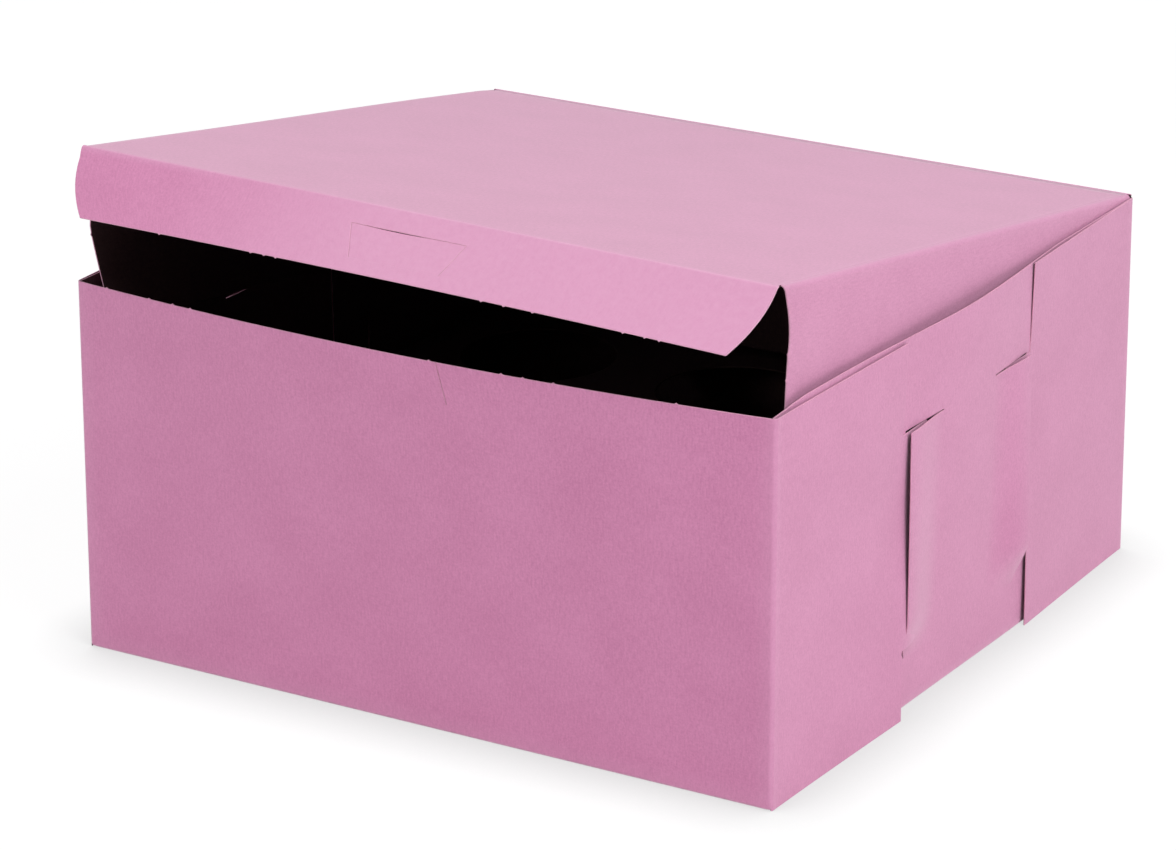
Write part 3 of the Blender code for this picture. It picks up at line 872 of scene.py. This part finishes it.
def lid_warp(points, lid):
    """Twist of the lid: its front left corner rises and its right one drops, by -twist * t * x / half width.

    t is the share of the way from the hinge to the front crease. The left edge also bulges up by the left
    lift, coming in and dying away near the hinge.
    """
    away = -points[..., 1]
    bulge = smooth_rise(away, 0.0, bulge_in) * smooth_fall(away, bulge_end, bulge_out)
    across = points[..., 0] / lid.left_half
    lift = lid.left_lift * bulge * np.clip(-across, 0, 1)
    lift = lift - lid.twist * across * np.clip(away / lid.reach, 0, 1)
    return points + np.stack([0 * lift, 0 * lift, lift], axis=-1)


def front_half_width(x, lid):
    """Half the lid's width at its front, on the side that x lies on."""
    return np.where(x < 0, lid.left_half, lid.right_half)


def lid_half_width(x, y, lid):
    """Half the lid's width on one side: the flaps' plane at the hinge, splayed towards the front."""
    return flap_plane + (front_half_width(x, lid) - flap_plane) * smooth_rise(-y, 0.0, lid.splay_length)


def tuck_fold_at(x, lid):
    """The tuck flap's fold at x: a line from its left end to its right one, plus a parabola between them."""
    across = np.clip(x / flap_plane, -1, 1)
    level = (lid.tuck_fold_left + lid.tuck_fold_right) / 2
    slope = (lid.tuck_fold_right - lid.tuck_fold_left) / 2
    return level + slope * across + (lid.tuck_fold_middle - level) * (1 - across ** 2)


def tuck_start(x, box):
    """Where the tuck flap's bend begins at x, and how far its hinge lies behind."""
    hinge = (box.lid.reach - box.board.thickness / 2, -box.board.layer)
    return fold_start(hinge, box.board.thickness / 2, tuck_fold_at(x, box.lid), box.board.crease_radius,
                      box.board.thickness)


def tuck_highlight_share(x, lid):
    """How strongly a highlight is painted on the tuck flap at x: it grows from its left end to its middle and
    stays so.
    """
    return lid.tuck_highlight * smooth_rise(x, -highlight_reach, highlight_reach)


def add_lid_panel(box):
    """The lid's top: flat but for its twist, from the hinge crease to where the flaps' bends begin."""
    board, lid = box.board, box.lid
    front = -tuck_start(0.0, box)[0]
    back = -(lid.bead_radius + board.layer - board.thickness)
    half = lid.left_half - lid.side_crease_radius
    u, v = np.meshgrid(grid_lines(board.cell, half - lid_fade, lid_fade - half),
                       grid_lines(board.cell, front + lid_fade, back))
    crease = on_lines(v, front, back) | on_lines(np.abs(u), half)
    place = np.stack([u, v], -1)
    wear = crease_wear(np.minimum(half - np.abs(u), v - front) - lid_worn_place, lid_worn_reach)
    u = u * (lid_half_width(u, v, lid) - lid.side_crease_radius) / half
    v = v * np.where(v < lid.reach / -2, tuck_start(u, box)[0] / -front, 1)
    points = lid_warp(np.stack([u, v, np.full_like(u, board.thickness / 2)], -1), lid)
    normals = np.zeros_like(points)
    normals[..., 2] = 1
    piece = add_panel(box, "lid_board", (*put(points, normals, lid_axes(lid)), place, wear, crease))
    stand_for(piece, "lid_panel", "lid")


def add_lid_crease(box):
    """The crease between the back wall and the lid: a thin curved strip round the hinge, carried along x."""
    board, lid = box.board, box.lid
    lid_edge = (0, -(lid.bead_radius + board.layer - board.thickness), board.thickness / 2)
    lid_edge = np.array(lid_edge) @ lid_axes(lid)[:3]
    turns = np.radians(np.linspace(-10, 100, bead_lines))
    arc = lid.bead_radius * np.stack([np.cos(turns), np.sin(turns)], -1)
    start = np.array([half_depth - hinge_place[1], wall_top - hinge_place[2]])
    profile = np.concatenate([[start], arc, [lid_edge[1:]]])
    slope = np.gradient(profile, axis=0)
    outward = np.stack([slope[:, 1], -slope[:, 0]], -1)
    outward /= np.linalg.norm(outward, axis=1, keepdims=True)
    u = grid_lines(board.cell, cut_ends(-flap_plane, flap_plane, board))
    u, run = np.meshgrid(u, np.arange(len(profile)) * board.rounding)
    spread = np.ones_like(u)[..., None]
    points = np.concatenate([u[..., None], spread * (profile + hinge_place[1:])[:, None, :]], axis=-1)
    normals = np.concatenate([0 * spread, spread * outward[:, None, :]], axis=-1)
    crease = on_lines(run, run.min(), run.max())
    skin = (points, normals, np.stack([u, run], -1), np.full_like(u, 0.5), crease)
    piece = add_panel(box, "lid_crease_board", skin, thickness=lid.bead_radius * lid.bead_share)
    fold_for(piece, "lid_hinge_crease", ("tray", "hinge_crease"), "lid_board",
             points[0, 0] * (0, 1, 1), points[-1, 0] * (0, 1, 1))


def add_lid_side_flap(box, side_name, side):
    """A lid side flap: it bends down from the lid and tapers, along quarter-sine and slanted ends.

    Its splay, the lid's extra width at the front, dies away just past the crease. The left flap flares out
    below its crease at the front, and slants in below the flare. The right flap's front end begins farther
    back and slants in behind the tray's rim.
    """
    board, lid = box.board, box.lid
    hinge = (flap_plane - board.thickness / 2, -board.layer)
    radius = lid.side_crease_radius
    start, behind = fold_start(hinge, board.thickness / 2, math.pi / 2, radius, board.thickness)
    arc = radius * math.pi / 2
    nicks = np.array(side_flap_nicks) - behind
    s = grid_lines(
        board.cell / 2, np.linspace(0, arc, side_bend_lines), cut_lines(lid.side_depth - behind, -1, board),
        nick_lines(nicks, board))
    reach = lid.reach - lid.side_front_setback - lid.side_back_setback
    v = grid_lines(board.cell, cut_ends(0, reach, board))
    s, v = np.meshgrid(s, v)
    crease = on_lines(s, 0.0)
    place = np.stack([s + half_width, v - lid.reach], -1)
    depth = np.clip(s + behind, 0, None)
    front = -lid.reach + lid.side_front_setback
    if side > 0:
        below = np.clip(depth - lid.side_front_taper_depth, 0, None)
        front = front + lid.right_setback + lid.right_slant * below
    down = np.clip(depth / lid.side_front_taper_depth, 0, 1)
    front = front + lid.side_front_taper * np.sin(down * np.pi / 2)
    front = front - nick_rise(s, nicks, v, board)
    back = -lid.side_back_setback - lid.side_back_taper * depth / lid.side_depth
    y = front + (back - front) * v / reach
    a, z, normal_a, normal_z = fold_path(start, board.thickness / 2, math.pi / 2, radius, s)
    crease_y = -lid.side_back_setback - (lid.reach - lid.side_back_setback) * (1 - v / reach)
    splay = (lid_half_width(side, crease_y, lid) - flap_plane) * smooth_fall(s, arc * splay_share, splay_fade)
    if side < 0:
        below = depth - lid.left_flare_depth
        slant = np.clip(below, 0, None) ** 2 / (np.abs(below) + slant_ease)
        flare = lid.left_flare * smooth_rise(depth, 0.0, lid.left_flare_depth) - lid.left_slant * slant
        splay = splay + flare * smooth_rise(-y, flare_start, flare_span)
    else:
        tuck = smooth_rise(depth, 0.0, right_tuck_depth) * smooth_rise(-y, right_tuck_start, right_tuck_span)
        splay = splay - lid.right_tuck * tuck
    points = lid_warp(np.stack([side * (a + splay), y, z], -1), lid)
    normals = np.stack([side * normal_a, 0 * normal_a, normal_z], -1)
    axes = lid_axes(lid)
    wear = crease_wear(s - arc * worn_share, side_worn_reach)
    name = "lid_" + side_name
    piece = add_panel(box, name + "_flap_board", (*put(points, normals, axes), place, wear, crease))
    run = radius - lid.turn_setback
    first = np.array([side * (flap_plane - run), -lid.reach / 2, board.thickness / 2])
    down = np.array([side * math.cos(lid.turn_slope), 0, -math.sin(lid.turn_slope)])
    last = first + down * (run * math.cos(lid.turn_slope) + radius * math.sin(lid.turn_slope))
    turn, _ = put(np.array([first, last]), np.zeros((2, 3)), axes)
    fold_for(piece, name + "_side_flap", ("lid", name + "_flap"), "lid_board", *turn)


def tab_lean(u, distance, lid):
    """Draw the lines beside the lock tab out to its slanted sides, as wide as the tab is there."""
    half = lid.tab_hinge_width / 2
    share = np.clip((lid.tab_hinge - distance) / (lid.tab_hinge - lid.tab_top), 0, 1)
    lean = (lid.tab_top_width - lid.tab_hinge_width) / 2 * share
    inside = u * (1 + lean / half)
    outside = u + np.sign(u) * lean * smooth_fall(np.abs(u) - half, tab_near, tab_fade)
    return np.where(np.abs(u) <= half, inside, outside)


def place_on_tuck(x, s, box, lower=0.0):
    """Points and normals of the tuck flap's outer face at x across and s along its path, or below it."""
    start = tuck_start(x, box)[0]
    a, z, normal_a, normal_z = fold_path(start, box.board.thickness / 2, tuck_fold_at(x, box.lid),
                                         box.board.crease_radius, s)
    points = lid_warp(np.stack([x, -(a - normal_a * lower), z - normal_z * lower], -1), box.lid)
    normals = np.stack([0 * x, -normal_a, normal_z], -1)
    return put(points, normals, lid_axes(box.lid))


def tuck_inset(u, share, lid):
    """How far the tuck flap's ends curve in: inset * share^2.05 on the left, and share^1.8 on the right.

    The right end begins in from the lid's corner, and by half as much at the flap's lower edge.
    """
    left = lid.tuck_left_inset * share ** tuck_left_power
    right = lid.tuck_right_inset * share ** tuck_right_power + lid.tuck_corner_inset * (1 - 0.5 * share)
    return np.where(u < 0, left, right) * smooth_rise(np.abs(u), inset_start, flap_plane - inset_start)


def add_tuck_flap(box):
    """The tuck flap: it bends down at the lid's front, its ends curve in and the lock tab's window is cut."""
    board, lid = box.board, box.lid
    behind = tuck_start(0.0, box)[1]
    arc = board.crease_radius * lid.tuck_fold_middle
    half, tab_half = flap_plane, lid.tab_hinge_width / 2
    end = lid.tuck_reach - behind
    top, hinge = lid.tab_top - behind, lid.tab_hinge - behind
    window = tab_half + lid.tab_slit
    u = grid_lines(
        board.cell, cut_ends(-half, half, board), nick_lines(tuck_nicks, board),
        cut_ends(-tab_half, tab_half, board), cut_lines(window, 1, board), cut_lines(-window, -1, board),
        np.linspace(half - end_lines, half, end_line_count),
        np.linspace(-half, end_lines - half, end_line_count))
    s = grid_lines(
        board.cell / 3, np.linspace(0, arc * bend_cover, tuck_bend_lines), cut_lines(end, -1, board),
        cut_lines(top - lid.tab_top_slit, -1, board), cut_lines(hinge, 1, board), top)
    middle_u, middle_s = cell_middles(u, s)
    keep = ~((np.abs(middle_u) < window) & (middle_s > top - lid.tab_top_slit) & (middle_s < hinge))
    u, s = np.meshgrid(u, s)
    crease = on_lines(s, 0.0) | (on_lines(s, hinge) & (np.abs(u) < tab_half + touching))
    place = np.stack([u, -s - lid.reach], -1)
    share = np.clip((s + behind) / lid.tuck_reach, 0, 1)
    x = tab_lean(u, s + behind, lid)
    x = x - np.sign(x) * tuck_inset(u, share, lid)
    splay = (front_half_width(u, lid) - flap_plane) * smooth_fall(s, arc, splay_fade)
    x = x * (1 + splay / half)
    s = s + nick_rise(u, tuck_nicks, end - s, board)
    # Paler where the crease is scuffed, and paler still from the middle to the right end, where a highlight
    # is painted
    wear = np.maximum(crease_wear(s - arc * worn_share, tuck_worn_reach), tuck_highlight_share(x, lid))
    piece = add_panel(box, "tuck_flap_board", (*place_on_tuck(x, s, box), place, wear, crease), keep)
    first = -tuck_start(0.0, box)[0]
    last = first - board.crease_radius * math.sin(lid.tuck_fold_middle)
    turn, _ = put(np.array([[0, first, board.thickness / 2], [0, last, board.thickness / 2]]),
                  np.zeros((2, 3)), lid_axes(lid))
    fold_for(piece, "front_tuck_flap", ("lid", "tuck_flap"), "lid_board", *turn)


def add_lock_tab(box):
    """The lock tab: it fills its window in the tuck flap, and its top is pressed in a little at the mouth.

    It is lowered by the press * (share up the tab)^2 * exp of minus the squared distance from the mouth, and
    beside the mouth its top edge rises by (share up the tab)^4 until its slit is as narrow as the others.
    """
    board, lid = box.board, box.lid
    behind = tuck_start(0.0, box)[1]
    half = lid.tab_hinge_width / 2
    u, distance = np.meshgrid(grid_lines(board.cell / 3, cut_ends(-half, half, board)),
                              grid_lines(board.cell / 4, cut_ends(lid.tab_top, lid.tab_hinge, board)))
    crease = on_lines(distance, lid.tab_hinge)
    place = np.stack([u, behind - distance - lid.reach], -1)
    up_tab = (lid.tab_hinge - distance) / (lid.tab_hinge - lid.tab_top)
    from_mouth = (u - lid.tab_mouth) / lid.tab_mouth_width
    lower = lid.tab_press * up_tab ** 2 * np.exp(-from_mouth ** 2)
    shut = (lid.tab_top_slit - lid.tab_slit) * smooth_rise(np.abs(from_mouth), mouth_share)
    distance = distance - shut * up_tab ** 4
    face = place_on_tuck(tab_lean(u, distance, lid), distance - behind, box, lower)
    # The lock tab takes the tuck flap's painted highlight
    piece = add_panel(box, "lock_tab_board", (*face, place, tuck_highlight_share(u, lid), crease))
    stand_for(piece, "lock_tab", "lock_tab")


# The insert

def add_insert_deck(box):
    """The deck: nine tiles, each a ring from a round hole to the tile's straight sides.

    On a tile, the ring's outer points step evenly round its four sides, the inner points lie on the circle
    in the same directions, and the points between them are blended in a straight line.
    """
    insert, board = box.insert, box.board
    half = np.array([deck_high.x - insert.crease_radius, deck_high.y])
    along = np.linspace(-1, 1, hole_lines, endpoint=False)
    ones = np.ones(hole_lines)
    rim = np.concatenate([np.stack([along, -ones], -1), np.stack([ones, along], -1),
                          np.stack([-along, ones], -1), np.stack([-ones, -along], -1)])
    pitch, radius = insert.hole_pitch, insert.hole_diameter / 2
    rings = np.array([0.0, board.rounding, 2 * board.rounding, first_ring, 0.25 * pitch, 0.5 * pitch])
    rings = rings / rings[-1]
    cells = grid_quads(np.ones((len(rings) - 1, len(rim)), bool))
    points, quads = [], []
    for column in (-1, 0, 1):
        for row in (-1, 0, 1):
            tile = np.array([column, row])
            centre = tile * pitch
            low = np.where(tile < 0, -half, (tile - 0.5) * pitch)
            high = np.where(tile > 0, half, (tile + 0.5) * pitch)
            outer = low + (rim + 1) / 2 * (high - low)
            ray = outer - centre
            inner = centre + ray / np.linalg.norm(ray, axis=1, keepdims=True) * radius
            ring = inner + (outer - inner) * rings[:, None, None]
            quads.append(cells + sum(map(len, points)))
            points.append(np.concatenate([ring, ring[:, :1]], axis=1).reshape(-1, 2))
    points, quads = np.concatenate(points), np.concatenate(quads)
    _, first, joined = np.unique(np.round(points, 6), axis=0, return_index=True, return_inverse=True)
    flat, quads = points[first], joined.ravel()[quads]
    normals = np.tile([0.0, 0.0, 1.0], (len(flat), 1))
    skin = (np.column_stack([flat, np.full(len(flat), deck_high.z)]), normals, flat,
            np.zeros(len(flat)), on_lines(np.abs(flat[:, 0]), half[0]))
    piece = add_board("insert_deck_board", skin, quads, insert.thickness, board.rounding,
                      insert_finishes(box.colours))
    stand_for(piece, "insert_deck", "insert")


def add_insert_leg(box, side_name, side):
    """A leg of the insert: it bends down from the deck's edge and stands just clear of the floor."""
    insert, board = box.insert, box.board
    # The hinge lies below the deck's board, the clearance and half of the leg's own board
    hinge = (deck_high.x - insert.thickness / 2, -(insert.thickness * 1.5 + insert.clearance))
    radius = insert.crease_radius
    bend_start, behind = fold_start(hinge, 0.0, math.pi / 2, radius, insert.thickness)
    end = deck_high.z + hinge[1] - insert.floor_clearance - behind
    bend = np.linspace(0, radius * math.pi / 2, leg_bend_lines)
    s = grid_lines(board.cell, bend, cut_lines(end, -1, board))
    v = grid_lines(board.cell * 2, cut_ends(-deck_high.y, deck_high.y, board))
    s, v = np.meshgrid(s, v)
    a, z, normal_a, normal_z = fold_path(bend_start, 0.0, math.pi / 2, radius, s)
    points = np.stack([side * a, v, z + deck_high.z], -1)
    normals = np.stack([side * normal_a, 0 * s, normal_z], -1)
    skin = (points, normals, np.stack([s, v], -1), 0 * s, on_lines(s, 0.0))
    name = "insert_" + side_name + "_leg"
    quads = grid_quads(np.ones(np.subtract(s.shape, 1), bool))
    piece = add_board(name + "_board", skin, quads, insert.thickness, board.rounding,
                      insert_finishes(box.colours))
    fold_for(piece, name, ("insert", name), "insert_board", (side * (deck_high.x - radius), 0, deck_high.z),
             (side * deck_high.x, 0, deck_high.z - radius))


# The stage

def seen_directly(nodes, links):
    """1 where the camera, a reflection or a clear surface looks at the surface, and 0 where light does."""
    path = nodes.new("ShaderNodeLightPath")
    seen = path.outputs["Is Camera Ray"]
    for ray in ("Is Glossy Ray", "Is Transmission Ray"):
        seen = add_math(nodes, links, "MAXIMUM", seen, path.outputs[ray])
    return seen


def add_floor(stage):
    """A plain pale floor that looks white where it is lit.

    Seen directly, it keeps the box's shadow, and a contact shadow is painted on it close beside the box: its
    glow dims where ambient occlusion finds the box near.
    """
    mesh = bpy.data.meshes.new("studio_floor")
    reach = 8.0
    mesh.from_pydata([(-reach, -reach, 0), (reach, -reach, 0), (reach, reach, 0), (-reach, reach, 0)], [],
                     [(0, 1, 2, 3)])
    floor = bpy.data.objects.new("studio_floor", mesh)
    bpy.context.scene.collection.objects.link(floor)
    material, nodes, links, shader = new_material("studio_floor")
    shader.inputs["Base Color"].default_value = (*stage.floor, 1)
    shader.inputs["Roughness"].default_value = 0.9
    shader.inputs["Specular IOR Level"].default_value = 0.0
    # A contact shadow painted on the floor: the glow dims where the box is near
    near = add_node(nodes, "ShaderNodeAmbientOcclusion", links, {"Distance": stage.contact_reach}, samples=16)
    strength = add_node(nodes, "ShaderNodeMapRange", links, {
        "Value": near.outputs["AO"], "From Min": 0.5, "From Max": 1.0,
        "To Min": stage.floor_glow - stage.floor_contact, "To Max": stage.floor_glow})
    glow = add_node(nodes, "ShaderNodeEmission", links, {"Strength": strength.outputs["Result"]})
    lit = add_node(nodes, "ShaderNodeBsdfDiffuse", links, {"Color": (*stage.floor_seen, 1)})
    both = add_node(nodes, "ShaderNodeAddShader")
    links.new(lit.outputs[0], both.inputs[0])
    links.new(glow.outputs[0], both.inputs[1])
    choice = add_node(nodes, "ShaderNodeMixShader", links, {"Fac": seen_directly(nodes, links)})
    links.new(shader.outputs[0], choice.inputs[1])
    links.new(both.outputs[0], choice.inputs[2])
    links.new(choice.outputs[0], nodes["Material Output"].inputs["Surface"])
    mesh.materials.append(material)


def in_place(name, data, right, up, back, place):
    """Add an object that looks along -back from a place."""
    added = bpy.data.objects.new(name, data)
    bpy.context.scene.collection.objects.link(added)
    turn = np.eye(4)
    turn[:3] = np.column_stack([right, up, back, place])
    added.matrix_world = Matrix(turn.tolist())
    return added


def add_lamp(name, place, size, power):
    """A soft square lamp that looks at the box."""
    light = bpy.data.lights.new(name, "AREA")
    light.shape = "SQUARE"
    light.size = size
    light.energy = power
    back = np.array(place, float) - (0, 0, wall_top / 2)
    back /= np.linalg.norm(back)
    right = np.cross((0, 0, 1), back)
    right /= np.linalg.norm(right)
    in_place(name, light, right, np.cross(back, right), back, place)


# Where each lamp stands, and its size
lamps = {"key": ((1.5, -0.35, 1.5), 1.4), "fill": ((-0.9, -1.8, 1.1), 1.2), "top": ((-0.3, 0.9, 1.9), 1.6)}


def add_world(stage):
    """Even light from all round, and white where the camera sees past the floor."""
    world = bpy.data.worlds.new("studio")
    world.use_nodes = True
    nodes, links = world.node_tree.nodes, world.node_tree.links
    strength = add_node(nodes, "ShaderNodeMapRange", links, {
        "Value": seen_directly(nodes, links), "To Min": stage.ambient, "To Max": 1.0})
    links.new(strength.outputs["Result"], nodes["Background"].inputs["Strength"])
    nodes["Background"].inputs["Color"].default_value = (1, 1, 1, 1)
    bpy.context.scene.world = world


def add_camera(stage):
    """The camera at the photograph's viewing angle.

    back, right and up are the view's axes: back = (sin a cos e, -cos a cos e, sin e), right =
    (cos a, sin a, 0) and up = back x right, with right and up turned by the roll.
    """
    a, e = stage.azimuth, stage.elevation
    back = np.array([math.sin(a) * math.cos(e), -math.cos(a) * math.cos(e), math.sin(e)])
    right = np.array([math.cos(a), math.sin(a), 0.0])
    up = np.cross(back, right)
    place = np.array([0, 0, wall_top / 2]) - right * stage.shift_right - up * stage.shift_up
    place = place + back * stage.distance
    cos, sin = math.cos(stage.roll), math.sin(stage.roll)
    data = bpy.data.cameras.new("camera")
    data.lens, data.sensor_width = stage.lens, 36
    data.clip_start, data.clip_end = 0.1, 60
    camera = in_place("camera", data, cos * right - sin * up, sin * right + cos * up, back, place)
    bpy.context.scene.camera = camera


# Operators

class CUPCAKEBOX_OT_floor_panel(Operator):
    """Make the tray's floor"""

    bl_idname = "cupcake_box.floor_panel"
    bl_label = "Floor Panel"

    def execute(self, context):
        add_floor_panel(context.scene.cupcake_box)
        return {"FINISHED"}


class CUPCAKEBOX_OT_end_walls(Operator):
    """Make the front wall and the back wall"""

    bl_idname = "cupcake_box.end_walls"
    bl_label = "Front and Back Walls"

    def execute(self, context):
        add_front_wall(context.scene.cupcake_box)
        add_back_wall(context.scene.cupcake_box)
        return {"FINISHED"}


class CUPCAKEBOX_OT_side_walls(Operator):
    """Make the two side walls with their slits and wings"""

    bl_idname = "cupcake_box.side_walls"
    bl_label = "Side Walls"

    def execute(self, context):
        for side_name, side in sides.items():
            add_side_wall(context.scene.cupcake_box, side_name, side)
        return {"FINISHED"}


class CUPCAKEBOX_OT_corner_flaps(Operator):
    """Make the four corner flaps with their lock tabs"""

    bl_idname = "cupcake_box.corner_flaps"
    bl_label = "Corner Flaps"

    def execute(self, context):
        for side_name, side in sides.items():
            for end_name, end in ends.items():
                add_corner_flap(context.scene.cupcake_box, side_name, side, end_name, end)
        return {"FINISHED"}


class CUPCAKEBOX_OT_lid(Operator):
    """Make the lid's top and the crease that it turns on"""

    bl_idname = "cupcake_box.lid"
    bl_label = "Lid"

    def execute(self, context):
        add_lid_panel(context.scene.cupcake_box)
        add_lid_crease(context.scene.cupcake_box)
        return {"FINISHED"}


class CUPCAKEBOX_OT_lid_side_flaps(Operator):
    """Make the flaps that hang from the lid inside the side walls"""

    bl_idname = "cupcake_box.lid_side_flaps"
    bl_label = "Lid Side Flaps"

    def execute(self, context):
        for side_name, side in sides.items():
            add_lid_side_flap(context.scene.cupcake_box, side_name, side)
        return {"FINISHED"}


class CUPCAKEBOX_OT_tuck_flap(Operator):
    """Make the tuck flap and the lock tab in it"""

    bl_idname = "cupcake_box.tuck_flap"
    bl_label = "Tuck Flap"

    def execute(self, context):
        add_tuck_flap(context.scene.cupcake_box)
        add_lock_tab(context.scene.cupcake_box)
        return {"FINISHED"}


class CUPCAKEBOX_OT_insert(Operator):
    """Make the insert that holds the cakes"""

    bl_idname = "cupcake_box.insert"
    bl_label = "Insert"

    def execute(self, context):
        add_insert_deck(context.scene.cupcake_box)
        for side_name, side in sides.items():
            add_insert_leg(context.scene.cupcake_box, side_name, side)
        return {"FINISHED"}


class CUPCAKEBOX_OT_stage(Operator):
    """Make the floor, the lamps, the backdrop and the camera"""

    bl_idname = "cupcake_box.stage"
    bl_label = "Stage"

    def execute(self, context):
        stage = context.scene.cupcake_box.stage
        add_floor(stage)
        for name, (place, size) in lamps.items():
            add_lamp(name + "_lamp", place, size, getattr(stage, name))
        add_world(stage)
        add_camera(stage)
        context.scene.view_settings.view_transform = "Standard"
        return {"FINISHED"}


piece_operators = (
    CUPCAKEBOX_OT_floor_panel, CUPCAKEBOX_OT_end_walls, CUPCAKEBOX_OT_side_walls,
    CUPCAKEBOX_OT_corner_flaps, CUPCAKEBOX_OT_lid, CUPCAKEBOX_OT_lid_side_flaps,
    CUPCAKEBOX_OT_tuck_flap, CUPCAKEBOX_OT_insert, CUPCAKEBOX_OT_stage,
)


class CUPCAKEBOX_PT_sidebar(Panel):
    """The cupcake box's settings and steps, in the 3D view's sidebar"""

    bl_label = "Cupcake Box"
    bl_idname = "CUPCAKEBOX_PT_sidebar"
    bl_space_type = "VIEW_3D"
    bl_region_type = "UI"
    bl_category = "Cupcake Box"

    def draw(self, context):
        box = context.scene.cupcake_box
        for group in ("board", "tray", "lid", "insert", "colours", "stage"):
            settings = getattr(box, group)
            column = self.layout.column(align=True)
            column.label(text=group.capitalize())
            for name in settings.__annotations__:
                column.prop(settings, name)
        for operator in piece_operators:
            self.layout.operator(operator.bl_idname)


classes = (
    BoardSettings, TraySettings, LidSettings, InsertSettings, ColourSettings, StageSettings,
    CupcakeBoxSettings, *piece_operators, CUPCAKEBOX_PT_sidebar,
)


def register():
    """Register the settings, the operators and the panel."""
    for made in classes:
        bpy.utils.register_class(made)
    bpy.types.Scene.cupcake_box = PointerProperty(type=CupcakeBoxSettings)


def unregister():
    """Remove what register added."""
    del bpy.types.Scene.cupcake_box
    for made in reversed(classes):
        bpy.utils.unregister_class(made)


def main():
    """Build the box and its stage."""
    register()
    bpy.ops.cupcake_box.floor_panel()
    bpy.ops.cupcake_box.end_walls()
    bpy.ops.cupcake_box.side_walls()
    bpy.ops.cupcake_box.corner_flaps()
    bpy.ops.cupcake_box.lid()
    bpy.ops.cupcake_box.lid_side_flaps()
    bpy.ops.cupcake_box.tuck_flap()
    bpy.ops.cupcake_box.insert()
    bpy.ops.cupcake_box.stage()


if __name__ == "__main__":
    main()
